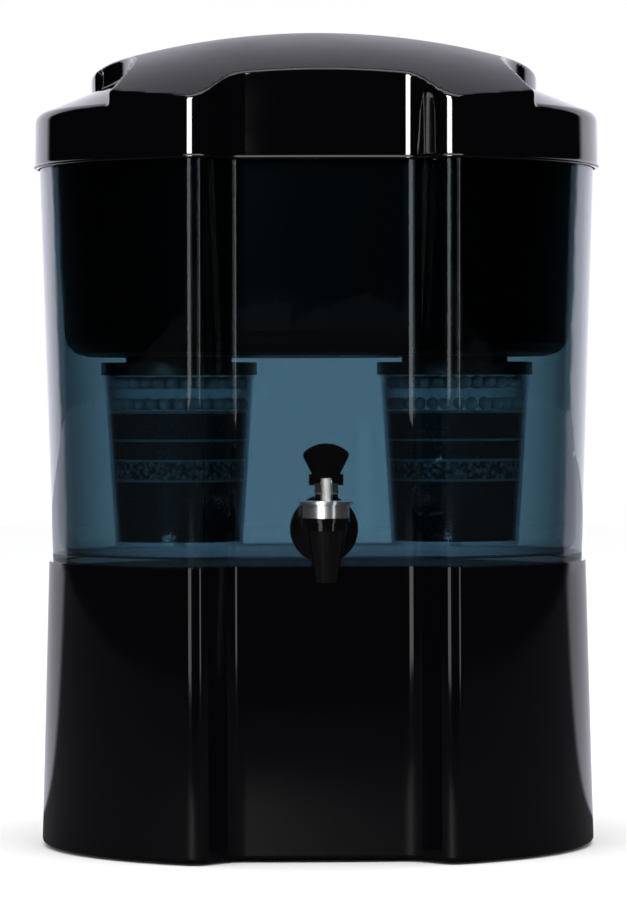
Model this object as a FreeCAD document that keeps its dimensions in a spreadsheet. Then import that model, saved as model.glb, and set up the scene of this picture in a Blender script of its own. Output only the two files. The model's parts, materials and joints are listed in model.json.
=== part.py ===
import FreeCAD, Part
import math
import os

import Sketcher
from FreeCAD import Vector

# Gravity water filter with tap, in millimetres.
# +Z is up and the front faces -Y. The origin is on the floor under the middle of the overall box.
# The shells share one plan: a round wall with a shallow bowed panel let into its front.
# The plan's own axis stands at y = plan_y, behind the origin by half of what the tap juts out.

DOC = FreeCAD.newDocument("WaterFilter")

# Driving dimensions: alias, value in millimetres (degrees or counts where the note says so), note

SIZES = [
    ("panel_setback", 32, "front panel behind the round wall"),
    ("panel_bow_radius", 577, "bend of the front panel"),
    ("panel_x", 40, "centre of the panel's corner bends, from the middle"),
    ("lobe_x", 64.5, "centre of the lobe crests, from the middle"),
    ("lobe_round", 9, "radius of the lobe crests"),
    ("panel_round", 12, "radius of the panel's inner corners"),
    ("least_round", 1.5, "smallest radius of a crest on an inner wall"),
    ("least_ramp", 1, "shortest slope between a crest and the panel"),

    ("foot_height", 1.5, "feet below the base"),
    ("foot_radius", 8, "rubber foot"),
    ("foot_grip", 2, "foot sunk in its post"),
    ("foot_inset", 21, "feet inside the base's wall"),
    ("foot_angle", 40, "degrees from the sideways line to a foot"),
    ("post_radius", 10, "post over a foot"),

    ("base_top", 147, "height of the base"),
    ("base_ledge", 2, "top of the base outside the tank"),
    ("base_flare", 3.8, "base wider at the floor"),
    ("base_wall", 3, "wall of the base"),
    ("base_deck", 3, "deck under the tank"),
    ("base_edge", 2, "radius of the base's lower edge"),

    ("plinth_depth", 8, "tank plinth in the base"),
    ("plinth_inset", 4.5, "plinth inside the tank's wall"),
    ("plinth_gap", 0.6, "room round the plinth"),

    ("tank_high", 210, "tank above the base"),
    ("tank_radius_low", 137.2, "tank at the base"),
    ("tank_flare", 6.8, "tank wider at its rim"),
    ("tank_wall", 3, "wall of the tank"),
    ("tank_floor", 4, "floor of the tank"),
    ("tank_corner", 8, "radius inside the tank's floor"),

    ("reservoir_deep", 104.5, "underside of the upper reservoir below the tank's rim"),
    ("reservoir_gap", 4, "room between the reservoir and the tank's wall at the rim"),
    ("reservoir_taper", 6, "reservoir narrower at its bottom"),
    ("reservoir_wall", 2.5, "wall of the reservoir"),
    ("reservoir_floor", 3, "floor of the reservoir"),
    ("reservoir_corner", 12, "radius of the reservoir's lower edge"),
    ("rim_thick", 3, "reservoir rim on the tank"),
    ("rim_inset", 0.5, "reservoir rim inside the tank's outer wall"),

    ("lid_overlap", 7.5, "lid's skirt below the tank's rim"),
    ("lid_rise", 63, "crown of the lid above the tank's rim"),
    ("lid_gap", 0.6, "room between the lid's skirt and the tank"),
    ("lid_taper", 1, "lid narrower under its dome"),
    ("lid_wall", 2.4, "wall of the lid"),
    ("lid_seat", 4, "ledge that rests on the reservoir rim"),
    ("past", 5, "how far a cutting tool runs past a face"),
    ("dome_radius_across", 382, "dome seen from the front"),
    ("dome_radius_along", 268, "dome seen from the side"),
    ("dome_seam", 1, "where the lid's dome begins above the scoops' floors"),

    ("scoop_radius", 97.5, "both bends of a scoop's wall"),
    ("scoop_bite", 22.5, "innermost point of a scoop inside its waist"),
    ("scoop_neck_y", -50, "innermost point of a scoop, from the plan's axis"),
    ("scoop_wide", 29.5, "scoop wall beside the crown, inside the lid's wall"),
    ("scoop_rear", 78, "rear end of a scoop, from the plan's axis"),
    ("scoop_lead", 60, "front end of a scoop, before its innermost point"),
    ("scoop_deep", 31.5, "scoop floor under the waist, below the crown"),
    ("scoop_fall", 12, "slope of a scoop's floor"),
    ("vent_wide", 13, "vent slot along the scoop wall"),
    ("vent_high", 9.5, "vent slot height"),
    ("vent_round", 2.5, "vent slot corners"),
    ("vent_rise", 8, "vent slot above the scoop floor"),
    ("vent_y", 12, "vent slot, from the plan's axis"),
    ("vent_turn", 19, "degrees the vent slot is turned"),
    ("vent_inset", 3, "middle of the vent cut inside the waist"),
    ("vent_deep", 14, "length of the vent cut"),

    ("cartridge_inset", 59.3, "cartridge's axis inside the reservoir's wall"),
    ("cup_high", 91.2, "height of a cartridge cup"),
    ("cap_room", 1.5, "cap's plate above the cup"),
    ("cup_radius_low", 33, "cup at its bottom"),
    ("cup_flare", 6.2, "cup wider at its rim"),
    ("cup_wall", 1.5, "wall of the cup"),
    ("cup_floor", 2, "floor of the cup"),
    ("cap_wall", 1.2, "skirt of the cap"),
    ("cap_skirt", 6.6, "height of the cap's skirt"),
    ("neck_high", 3, "gasket between cap and reservoir"),
    ("cap_plate", 2, "top plate of the cap"),
    ("cap_play", 0.1, "cup in cap"),
    ("spigot_radius", 14, "threaded spigot of the cap"),
    ("spigot_bore", 9, "water way in the spigot"),
    ("spigot_high", 17.5, "spigot above the reservoir's underside"),
    ("spigot_play", 0.3, "spigot in its hole"),
    ("neck_radius", 27.5, "gasket under the reservoir"),
    ("nut_radius", 23, "fixing nut"),
    ("nut_high", 8, "fixing nut height"),
    ("nut_grips", 8, "count of grips round the nut"),
    ("grip_radius", 2.4, "grip hollow in the nut"),
    ("grip_offset", 0.8, "centre of a grip hollow outside the nut"),
    ("strainer_radius", 19, "inlet strainer"),
    ("strainer_high", 9, "inlet strainer height"),
    ("strainer_wall", 1.5, "inlet strainer wall"),
    ("strainer_slot", 2, "slot in the strainer"),
    ("strainer_slots", 12, "count of slots in the strainer"),
    ("media_play", 0.2, "media inside the cup's wall"),
    ("disc_thick", 1.2, "separator disc"),
    ("base_bed_high", 31, "bed at the bottom of the cup"),
    ("mineral_bed_high", 9.2, "mineral bed"),
    ("lower_carbon_high", 9.2, "lower carbon bed"),
    ("upper_carbon_high", 13.3, "upper carbon bed"),
    ("media_drop", 3.4, "top of the pebbles below the cup's rim"),
    ("outlet_radius", 3, "outlet hole in the cup's floor"),

    ("tap_rise", 19, "tap's level axis above the base"),
    ("tap_throw", 32, "flange face to the spout's axis"),
    ("boss_radius", 15.5, "flat boss for the tap"),
    ("boss_step", 0.1, "boss before the panel at its upper edge"),
    ("gasket_thick", 2, "tap gaskets"),
    ("gasket_inset", 1.5, "tap gaskets inside the boss"),
    ("flange_past", 1.4, "tap flange outside the boss"),
    ("flange_thick", 3.6, "tap flange"),
    ("flange_lip", 1.4, "raised rim of the flange"),
    ("flange_lip_wide", 2.4, "width of the raised rim"),
    ("shank_radius", 8, "threaded shank"),
    ("shank_long", 24, "shank behind the flange"),
    ("shank_bore", 4.5, "water way in the shank"),
    ("shank_play", 0.3, "shank in the tank wall"),
    ("thread_play", 0.15, "plain cylinders that stand in for threads"),
    ("spot_margin", 0.6, "flat spot inside the tank wider than the gasket"),
    ("barrel_radius", 6, "barrel from flange to spout"),
    ("barrel_gap", 0.2, "collar above the barrel"),
    ("lock_nut_flats", 24, "lock nut across flats"),
    ("lock_nut_high", 6, "lock nut"),
    ("spout_radius_high", 9.8, "spout under the body"),
    ("spout_radius_low", 5.6, "spout tip"),
    ("spout_drop", 25.4, "spout tip below the tap's axis"),
    ("spout_bore", 3.8, "spout's water way"),
    ("spout_fin", 1.1, "half width of the spout's front rib"),
    ("spout_rib", 0.9, "front rib proud of the spout"),
    ("body_radius", 10.6, "body over the spout"),
    ("body_ring_radius", 12, "ring under the collar"),
    ("body_ring_high", 2.3, "ring under the collar"),
    ("seat_drop", 5.5, "seat of the valve below the tap's axis"),
    ("chamber_radius", 7.2, "valve chamber"),
    ("collar_wall", 1.55, "wall of the collar's drum"),
    ("neck_thread_high", 5, "thread under the collar"),
    ("collar_high", 8.3, "collar"),
    ("collar_radius", 11.7, "drum of the collar"),
    ("collar_brim", 1.4, "top flange wider than the drum"),
    ("collar_flange_thick", 1.5, "top flange of the collar"),
    ("collar_plate", 1.8, "top plate of the collar"),
    ("stem_radius", 2.6, "valve stem"),
    ("stem_play", 0.08, "stem in the collar"),
    ("stem_past_pin", 3, "stem above the lever pin"),
    ("pin_rise", 9.5, "lever pin above the collar"),
    ("pin_radius", 1.25, "lever pin"),
    ("pin_play", 0.05, "pin in the lever"),
    ("seat_cup_room", 1.6, "water way round the seat cup"),
    ("seat_cup_high", 5, "silicone seat cup"),
    ("seat_cup_socket", 1.5, "floor of the cup under the stem"),
    ("seat_cup_flange", 2, "flange of the seat cup"),
    ("seat_gap", 0.05, "seat cup over the seat"),
    ("spring_radius", 4.4, "spring coil, to the wire's middle"),
    ("spring_wire", 0.8, "spring wire"),
    ("spring_turns", 5, "count of turns"),

    ("paddle_crown", 5.3, "tip of the paddle above its widest point"),
    ("paddle_half", 11.8, "half width of the paddle"),
    ("paddle_fan", 9.7, "widest point of the paddle above its neck"),
    ("paddle_neck_half", 6.4, "half width of the paddle's neck"),
    ("neck_rise", 3.8, "neck of the paddle above the pin"),
    ("neck_sink", 1, "paddle let into the yoke"),
    ("paddle_thick", 4.2, "paddle"),
    ("paddle_round", 2.5, "corners of the paddle"),
    ("yoke_half", 8.4, "half width of the yoke"),
    ("yoke_drop", 1.6, "lower edge of the yoke below the pin"),
    ("cam_sink", 1, "cam legs let into the yoke"),
    ("yoke_deep", 8, "yoke from front to back"),
    ("leg_inner", 2.85, "inner face of a fork leg"),
    ("leg_outer", 5.7, "outer face of a fork leg"),
    ("lever_tilt", 50, "degrees the lever tips"),
    ("stem_lift", 3.2, "rise of the stem at full tilt"),
    ("cam_gap", 0.3, "cam over the collar"),
    ("cam_back", 3, "cam behind the pin"),
    ("crook_radius", 4.4, "room round the stem's end in the yoke"),
    ("pin_overhang", 0.6, "pin inside the yoke's faces"),
]

# Places and radii that follow from the driving dimensions

PLACES = {
    "base_radius_high": "tank_radius_low + base_ledge",
    "base_radius_low": "base_radius_high + base_flare",
    "foot_ring": "base_radius_low - foot_inset",
    "tank_top": "base_top + tank_high",
    "tank_radius_high": "tank_radius_low + tank_flare",
    "reservoir_bottom": "tank_top - reservoir_deep",
    "reservoir_radius_high": "tank_radius_high - tank_wall - reservoir_gap",
    "reservoir_radius_low": "reservoir_radius_high - reservoir_taper",
    "lid_bottom": "tank_top - lid_overlap",
    "lid_top": "tank_top + lid_rise",
    "lid_radius_low": "tank_radius_high + lid_gap + lid_wall",
    "lid_radius_high": "lid_radius_low - lid_taper",
    "scoop_waist": "lid_radius_low - scoop_wide",
    "scoop_neck": "scoop_waist - scoop_bite",
    "scoop_floor_inner": "lid_top - scoop_deep",
    "seam_level": "scoop_floor_inner + dome_seam",
    "scoop_floor_outer": "scoop_floor_inner - scoop_fall",
    "vent_middle": "scoop_floor_inner + vent_rise",
    "cartridge_x": "reservoir_radius_low - cartridge_inset",
    "cap_top": "reservoir_bottom - neck_high",
    "cap_bottom": "cap_top - cap_skirt",
    "cup_top": "cap_top - cap_plate - cap_room",
    "cup_bottom": "cup_top - cup_high",
    "cup_radius_high": "cup_radius_low + cup_flare",
    "cap_radius": "cup_radius_high + cap_play + cap_wall",
    "spigot_top": "reservoir_bottom + spigot_high",
    "disc_level_1": "cup_bottom + cup_floor + base_bed_high",
    "disc_level_2": "disc_level_1 + disc_thick + mineral_bed_high",
    "disc_level_3": "disc_level_2 + disc_thick + lower_carbon_high",
    "disc_level_4": "disc_level_3 + disc_thick + upper_carbon_high",
    "media_top": "cup_top - media_drop",
    "tank_slope": "tank_flare / tank_high",
    "tap_height": "base_top + tap_rise",
    "boss_proud": "tank_slope * boss_radius + boss_step",
    "gasket_radius": "boss_radius - gasket_inset",
    "flange_radius": "boss_radius + flange_past",
    "spot_face": "gasket_radius + spot_margin",
    "spout_bottom": "tap_height - spout_drop",
    "valve_seat": "tap_height - seat_drop",
    "collar_bottom": "tap_height + barrel_radius + barrel_gap",
    "collar_top": "collar_bottom + collar_high",
    "collar_flange": "collar_radius + collar_brim",
    "neck_thread_radius": "collar_radius - collar_wall - thread_play",
    "seat_cup_radius": "chamber_radius - seat_cup_room",
    "pin_height": "collar_top + pin_rise",
    "stem_top": "pin_height + stem_past_pin",
    "yoke_bottom": "pin_height - yoke_drop",
    "paddle_neck_at": "pin_height + neck_rise",
    "paddle_wide_at": "paddle_neck_at + paddle_fan",
    "lever_top": "paddle_wide_at + paddle_crown",
}


def make_sheet():
    """Put the driving dimensions in a spreadsheet, one alias to a row."""
    sheet = DOC.addObject("Spreadsheet::Sheet", "Sizes")
    for row, (alias, value, note) in enumerate(SIZES, start=1):
        sheet.set("A%d" % row, note)
        sheet.set("B%d" % row, str(value))
        sheet.setAlias("B%d" % row, alias)
    DOC.recompute()
    return sheet


SHEET = make_sheet()
ALIASES = [alias for alias, value, note in SIZES]


def sheet_words(text):
    """Point every alias in an expression at the sheet, and write every named place out in aliases."""
    words = ""
    name = ""
    for mark in text + " ":
        if mark.isalnum() or mark == "_":
            name += mark
            continue
        if name in ALIASES:
            name = "Sizes." + name
        elif name in PLACES:
            name = "(%s)" % sheet_words(PLACES[name])
        words += name + mark
        name = ""
    return words.strip()


def bind(target, path, text):
    """Bind a property to an expression written with the sheet's aliases."""
    target.setExpression(path, sheet_words(str(text)))


def value_of(text):
    """Work out an expression of aliases with the sheet's present values."""
    if text in ALIASES:
        return float(SHEET.get(text))
    probe = DOC.getObject("Probe") or DOC.addObject("App::FeaturePython", "Probe")
    if "Reading" not in probe.PropertiesList:
        probe.addProperty("App::PropertyFloat", "Reading")
    bind(probe, "Reading", text)
    probe.recompute()
    return probe.Reading


# Steps in a rounded lower edge, and the two cartridges' sides

ROUND_STEPS = 3
CARTRIDGES = (("right", "cartridge_x"), ("left", "-cartridge_x"))

# Places worked out from the driving dimensions, as expressions

PANEL_FACE = "(tank_radius_low + tank_slope * tap_rise - panel_setback)"
BOSS_FACE = "(%s + boss_proud)" % PANEL_FACE
BOSS_INNER = "(%s - tank_wall - boss_proud)" % PANEL_FACE
FLANGE_BACK = "(%s + gasket_thick)" % BOSS_FACE
SPOUT_OUT = "(%s + flange_thick + tap_throw)" % FLANGE_BACK
PLAN_Y = "((%s + collar_flange - lid_radius_low) / 2)" % SPOUT_OUT
TAP_Y = "(%s - %s)" % (PLAN_Y, SPOUT_OUT)
DECK_TOP = "(base_top - plinth_depth)"
TANK_FLOOR_TOP = "(base_top + tank_floor)"
RIM_TOP = "(tank_top + rim_thick)"
RESERVOIR_FLOOR_TOP = "(reservoir_bottom + reservoir_floor)"
NUT_TOP = "(%s + nut_high)" % RESERVOIR_FLOOR_TOP
CUP_BASE = "(valve_seat + seat_gap)"
CUP_SOCKET = "(%s + seat_cup_socket)" % CUP_BASE
CUP_SHOULDER = "(%s + seat_cup_flange)" % CUP_BASE


# Sketches and bodies

def origin_plane(body, role):
    """The body's own origin plane of that role."""
    return next(plane for plane in body.Origin.OriginFeatures if plane.Role == role)


def origin_axis(body):
    """The body's own upright axis."""
    return next(axis for axis in body.Origin.OriginFeatures if axis.Role == "Z_Axis")


def new_body(label, x="0", y="0", z="0"):
    """An empty body whose place is bound to three expressions."""
    body = DOC.addObject("PartDesign::Body", label)
    body.Label = label
    move(body, x, y, z)
    return body


def move(piece, x="0", y="0", z="0"):
    """Bind an object's place to three expressions."""
    for letter, text in zip("xyz", (x, y, z)):
        bind(piece, ".Placement.Base.%s" % letter, text)
    return piece


def new_sketch(body, role, lift="0"):
    """A sketch on an origin plane, raised along the plane's normal."""
    sketch = body.newObject("Sketcher::SketchObject", "%s_sketch" % body.Name)
    sketch.AttachmentSupport = [(origin_plane(body, role), "")]
    sketch.MapMode = "FlatFace"
    bind(sketch, ".AttachmentOffset.Base.z", lift)
    return sketch


def hold_point(sketch, edge, end, x, y):
    """Fix a sketch point by its two bound distances from the sketch's origin."""
    for kind, axis, text in (("DistanceX", -2, x), ("DistanceY", -1, y)):
        if text == "0":
            sketch.addConstraint(Sketcher.Constraint("PointOnObject", edge, end, axis))
            continue
        index = sketch.addConstraint(Sketcher.Constraint(kind, -1, 1, edge, end, value_of(text)))
        bind(sketch, "Constraints[%d]" % index, text)


def arc_between(start, end, radius):
    """The short arc that runs anticlockwise from start to end."""
    chord = end - start
    reach = math.sqrt(max(radius ** 2 - (chord.Length / 2) ** 2, 0))
    centre = (start + end) / 2 + Vector(-chord.y, chord.x, 0).normalize() * reach
    angles = [math.atan2(tip.y - centre.y, tip.x - centre.x) for tip in (start, end)]
    circle = Part.Circle(centre, Vector(0, 0, 1), radius)
    return Part.ArcOfCircle(circle, angles[0], angles[1])


def draw(sketch, corners):
    """Draw a closed outline.

    A corner is (x, y), or (x, y, radius, turn) where the edge to the next corner is an arc that
    turns left (1) or right (-1). Every corner and radius is bound to its expression.
    """
    spots = [Vector(value_of(corner[0]), value_of(corner[1]), 0) for corner in corners]
    heads = []
    tails = []
    for index, corner in enumerate(corners):
        start = spots[index]
        end = spots[(index + 1) % len(spots)]
        if len(corner) == 2:
            edge = sketch.addGeometry(Part.LineSegment(start, end))
            heads.append((edge, 1))
            tails.append((edge, 2))
            continue
        left = corner[3] > 0
        first, last = (start, end) if left else (end, start)
        edge = sketch.addGeometry(arc_between(first, last, value_of(corner[2])))
        heads.append((edge, 1 if left else 2))
        tails.append((edge, 2 if left else 1))
        radius = sketch.addConstraint(Sketcher.Constraint("Radius", edge, value_of(corner[2])))
        bind(sketch, "Constraints[%d]" % radius, corner[2])
    for index, corner in enumerate(corners):
        before = tails[index - 1]
        sketch.addConstraint(Sketcher.Constraint("Coincident", *before, *heads[index]))
        hold_point(sketch, *heads[index], corner[0], corner[1])
    return sketch


def draw_circle(sketch, radius, x="0", y="0"):
    """Draw a circle whose radius and centre are bound to expressions."""
    centre = Vector(value_of(x), value_of(y), 0)
    edge = sketch.addGeometry(Part.Circle(centre, Vector(0, 0, 1), value_of(radius)))
    index = sketch.addConstraint(Sketcher.Constraint("Radius", edge, value_of(radius)))
    bind(sketch, "Constraints[%d]" % index, radius)
    if x == "0" and y == "0":
        sketch.addConstraint(Sketcher.Constraint("Coincident", edge, 3, -1, 1))
    else:
        hold_point(sketch, edge, 3, x, y)
    return sketch


def pad(body, sketch, length, midplane=False):
    """Pad a sketch along its normal by a bound length."""
    feature = body.newObject("PartDesign::Pad", "%s_pad" % body.Name)
    feature.Profile = sketch
    feature.Midplane = midplane
    bind(feature, "Length", length)
    DOC.recompute()
    return feature


def pocket(body, sketch, length, forward=True, midplane=False):
    """Cut a sketch into the body, along its normal or against it."""
    before = body.Shape.Volume
    feature = body.newObject("PartDesign::Pocket", "%s_pocket" % body.Name)
    feature.Profile = sketch
    feature.Midplane = midplane
    feature.Reversed = forward
    bind(feature, "Length", length)
    DOC.recompute()
    if body.Shape.Volume >= before:
        raise RuntimeError("a pocket in %s cuts nothing" % body.Label)
    return feature


def turn_solid(body, corners, cut=False):
    """Turn an outline of radius and height round the body's upright axis."""
    before = body.Shape.Volume if cut else 0
    sketch = draw(new_sketch(body, "XZ_Plane"), corners)
    kind = "PartDesign::Groove" if cut else "PartDesign::Revolution"
    feature = body.newObject(kind, "%s_turn" % body.Name)
    feature.Profile = sketch
    feature.ReferenceAxis = (sketch, ["V_Axis"])
    feature.Angle = 360
    DOC.recompute()
    if cut and body.Shape.Volume >= before:
        raise RuntimeError("a groove in %s cuts nothing" % body.Label)
    return feature


def turned(label, corners, x="0", y="0"):
    """A body turned from one outline."""
    body = new_body(label, x, y)
    turn_solid(body, corners)
    return body


def round_edges(body, test, radius):
    """Fillet the body's edges that pass a test."""
    tip = body.Tip
    names = ["Edge%d" % number for number, edge in enumerate(tip.Shape.Edges, 1) if test(edge)]
    feature = body.newObject("PartDesign::Fillet", "%s_round" % body.Name)
    feature.Base = (tip, names)
    bind(feature, "Radius", radius)
    DOC.recompute()
    return feature


def repeat_round(body, feature, sketch, count):
    """Repeat a feature round the sketch's normal by a bound count."""
    pattern = body.newObject("PartDesign::PolarPattern", "%s_pattern" % body.Name)
    pattern.Originals = [feature]
    pattern.Axis = (sketch, ["N_Axis"])
    pattern.Angle = 360
    bind(pattern, "Occurrences", count)
    body.Tip = pattern
    DOC.recompute()
    return pattern


def edge_span(edge):
    """The lowest and highest corner of an edge and its middle point."""
    box = edge.BoundBox
    middle = edge.valueAt((edge.FirstParameter + edge.LastParameter) / 2)
    return box, middle


def cut_out(label, base, tool):
    """One shape minus another."""
    feature = DOC.addObject("Part::Cut", label)
    feature.Base = base
    feature.Tool = tool
    return feature


def overlap(label, base, tool):
    """What two shapes have in common."""
    feature = DOC.addObject("Part::Common", label)
    feature.Base = base
    feature.Tool = tool
    return feature


def joined(label, shapes):
    """Several shapes as one."""
    feature = DOC.addObject("Part::MultiFuse", label)
    feature.Shapes = shapes
    return feature


def upright_cylinder(label, radius, height, x="0", y="0", z="0"):
    """A cylinder whose sizes and place are bound to expressions."""
    cylinder = DOC.addObject("Part::Cylinder", label)
    bind(cylinder, "Radius", radius)
    bind(cylinder, "Height", height)
    return move(cylinder, x, y, z)


def forward_cylinder(label, radius, height, start_y, z):
    """A cylinder that runs towards the front from start_y."""
    cylinder = upright_cylinder(label, radius, height, "0", start_y, z)
    cylinder.Placement.Rotation = FreeCAD.Rotation(Vector(1, 0, 0), 90)
    return cylinder


# The shells' shared plan

def tangent_points(first, first_radius, second, second_radius):
    """Where the line that crosses between two circles touches each of them."""
    across = second - first
    lean = math.acos((first_radius + second_radius) / across.Length)
    way = math.atan2(across.y, across.x) + lean
    normal = Vector(math.cos(way), math.sin(way), 0)
    return first + normal * first_radius, second - normal * second_radius


def arc_from(centre, radius, start, end):
    """The arc round a centre, anticlockwise from start to end."""
    angles = [math.atan2(tip.y - centre.y, tip.x - centre.x) for tip in (start, end)]
    return Part.ArcOfCircle(Part.Circle(centre, Vector(0, 0, 1), radius), *angles)


def mirrored(point):
    """The point on the other side of the upright middle plane."""
    return Vector(-point.x, point.y, 0)


def draw_plan(sketch, radius, inset="0"):
    """Draw the shared plan: a round wall, two crests and a bowed panel between them.

    The inset moves the whole outline inwards by one distance, as for the inside of a wall.
    """
    crest_radius = "max(lobe_round - (%s); least_round)" % inset
    room = "lobe_x - panel_x - %s - least_ramp" % crest_radius
    corner_radius = "min(panel_round + (%s); %s)" % (inset, room)
    bow_radius = "(panel_bow_radius - (%s))" % inset
    bow_y = "(%s - ((%s) - panel_setback))" % (bow_radius, radius)
    wall, crest, corner, bow = map(value_of, (radius, crest_radius, corner_radius, bow_radius))
    crest_x, panel_x = map(value_of, ("lobe_x", "panel_x"))
    bow_centre = Vector(0, value_of(bow_y), 0)
    crest_centre = Vector(crest_x, -math.sqrt((wall - crest) ** 2 - crest_x ** 2), 0)
    corner_drop = math.sqrt((bow + corner) ** 2 - panel_x ** 2)
    corner_centre = Vector(panel_x, bow_centre.y - corner_drop, 0)
    on_wall = crest_centre * (wall / (wall - crest))
    on_bow = bow_centre + (corner_centre - bow_centre) * (bow / (bow + corner))
    on_corner, on_crest = tangent_points(corner_centre, corner, crest_centre, crest)

    def bind_new(kind, text, *places):
        index = sketch.addConstraint(Sketcher.Constraint(kind, *places, value_of(text)))
        bind(sketch, "Constraints[%d]" % index, text)

    back = sketch.addGeometry(arc_from(Vector(), wall, on_wall, mirrored(on_wall)))
    front = sketch.addGeometry(arc_from(bow_centre, bow, mirrored(on_bow), on_bow))
    sketch.addConstraint(Sketcher.Constraint("Coincident", back, 3, -1, 1))
    sketch.addConstraint(Sketcher.Constraint("PointOnObject", front, 3, -2))
    bind_new("Radius", radius, back)
    bind_new("Radius", bow_radius, front)
    bind_new("DistanceY", bow_y, -1, 1, front, 3)
    for side in (1, -1):
        right = side > 0
        place = (lambda point: point) if right else mirrored
        crest_ends = (on_crest, on_wall) if right else (mirrored(on_wall), mirrored(on_crest))
        corner_ends = (on_corner, on_bow) if right else (mirrored(on_bow), mirrored(on_corner))
        crest_arc = sketch.addGeometry(arc_from(place(crest_centre), crest, *crest_ends))
        corner_arc = sketch.addGeometry(arc_from(place(corner_centre), corner, *corner_ends))
        ramp = sketch.addGeometry(Part.LineSegment(place(on_corner), place(on_crest)))
        start, end = (1, 2) if right else (2, 1)
        joints = [
            (back, start, crest_arc, end),
            (crest_arc, start, ramp, 2),
            (ramp, 1, corner_arc, start),
            (corner_arc, end, front, end),
        ]
        for joint in joints:
            sketch.addConstraint(Sketcher.Constraint("Tangent", *joint))
        sign = "" if right else "-"
        bind_new("Radius", crest_radius, crest_arc)
        bind_new("Radius", corner_radius, corner_arc)
        bind_new("DistanceX", sign + "lobe_x", -1, 1, crest_arc, 3)
        bind_new("DistanceX", sign + "panel_x", -1, 1, corner_arc, 3)
    return sketch


def plan_form(label, bottom, top, radius_low, radius_high, inset="0", foot_round=None):
    """A tapered solid on the shared plan, with its lower edge rounded in steps if asked."""
    body = new_body(label)
    sections = []
    for step in range(ROUND_STEPS) if foot_round else ():
        angle = 90 * step / ROUND_STEPS
        extra = "%s * (1 - sin(%g))" % (foot_round, angle)
        level = "%s + %s * (1 - cos(%g))" % (bottom, foot_round, angle)
        radius = "%s - %s" % (radius_low, extra)
        sections.append(draw_plan(new_sketch(body, "XY_Plane", level), radius, inset + " + " + extra))
    start = "%s + %s" % (bottom, foot_round) if foot_round else bottom
    sections.append(draw_plan(new_sketch(body, "XY_Plane", start), radius_low, inset))
    sections.append(draw_plan(new_sketch(body, "XY_Plane", top), radius_high, inset))
    loft = body.newObject("PartDesign::AdditiveLoft", label + "_loft")
    loft.Profile = sections[0]
    loft.Sections = sections[1:]
    loft.Ruled = True
    DOC.recompute()
    return body


# Base

def make_base():
    """The stand: an open shell with a sunk deck for the tank, four posts and rubber feet."""
    wall_low = "base_radius_low - base_wall"
    wall_high = "base_radius_high - base_wall"
    outer = plan_form("base_outer", "foot_height", "base_top", "base_radius_low",
                      "base_radius_high", "0", "base_edge")
    core = plan_form("base_core", "foot_height - 1", "(%s - base_deck)" % DECK_TOP, wall_low,
                     wall_high, "base_wall")
    recess_radius = "tank_radius_low - plinth_inset + plinth_gap"
    recess = plan_form("base_recess", DECK_TOP, "base_top + 1", recess_radius, recess_radius,
                       "plinth_inset - plinth_gap")
    posts = []
    sockets = []
    feet = []
    for number, (side, end) in enumerate(((1, 1), (-1, 1), (1, -1), (-1, -1)), 1):
        x = "%d * foot_ring * cos(foot_angle)" % side
        y = "%d * foot_ring * sin(foot_angle)" % end
        height = "%s - base_deck / 2 - foot_height" % DECK_TOP
        posts.append(upright_cylinder("post_%d" % number, "post_radius", height, x, y,
                                      "foot_height"))
        sockets.append(upright_cylinder("foot_socket_%d" % number, "foot_radius", "foot_grip", x, y,
                                        "foot_height"))
        foot = upright_cylinder("foot_%d" % number, "foot_radius", "foot_height + foot_grip", x,
                                "(%s) + %s" % (y, PLAN_Y), "0")
        feet.append(foot)
    hollow = cut_out("base_hollow", outer, joined("base_cuts", [core, recess]))
    stiff = joined("base_stiff", [hollow] + posts)
    shell = cut_out("base_shell", stiff, joined("base_sockets", sockets))
    move(shell, "0", PLAN_Y)
    return [shell, joined("base_feet", feet)]


# Storage tank

def make_tank():
    """The smoke-tinted tank with its plinth and the flat boss and hole for the tap."""
    outer = plan_form("tank_outer", "base_top", "tank_top", "tank_radius_low", "tank_radius_high")
    core = plan_form("tank_core", TANK_FLOOR_TOP, "tank_top + 1", "tank_radius_low - tank_wall",
                     "tank_radius_high - tank_wall", "tank_wall", "tank_corner")
    plinth_radius = "tank_radius_low - plinth_inset"
    plinth = plan_form("tank_plinth", DECK_TOP, "base_top + 1", plinth_radius, plinth_radius,
                       "plinth_inset")
    plinth_core = plan_form("plinth_core", DECK_TOP + " - 1", "base_top",
                            plinth_radius + " - tank_wall", plinth_radius + " - tank_wall",
                            "plinth_inset + tank_wall")
    boss = forward_cylinder("tap_boss", "boss_radius", "tank_wall + 2 * boss_proud",
                            "-" + BOSS_INNER, "tap_height")
    hole = forward_cylinder("tap_hole", "shank_radius + shank_play", "tank_wall + 4 * boss_proud",
                            "boss_proud - " + BOSS_INNER, "tap_height")
    spot = forward_cylinder("tap_spot_face", "spot_face", "gasket_thick + lock_nut_high",
                            "-(%s - gasket_thick - lock_nut_high)" % BOSS_INNER, "tap_height")
    hollow = cut_out("tank_hollow", joined("tank_stock", [outer, plinth]),
                     joined("tank_cores", [core, plinth_core]))
    whole = cut_out("tank_whole", joined("tank_bossed", [hollow, boss]),
                    joined("tap_cuts", [hole, spot]))
    below = upright_cylinder("below_tank_floor", "tank_radius_high + past", TANK_FLOOR_TOP)
    wall = cut_out("storage_tank", whole, below)
    floor = overlap("tank_floor", whole, below)
    return [move(wall, "0", PLAN_Y), move(floor, "0", PLAN_Y)]


# Upper reservoir

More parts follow.
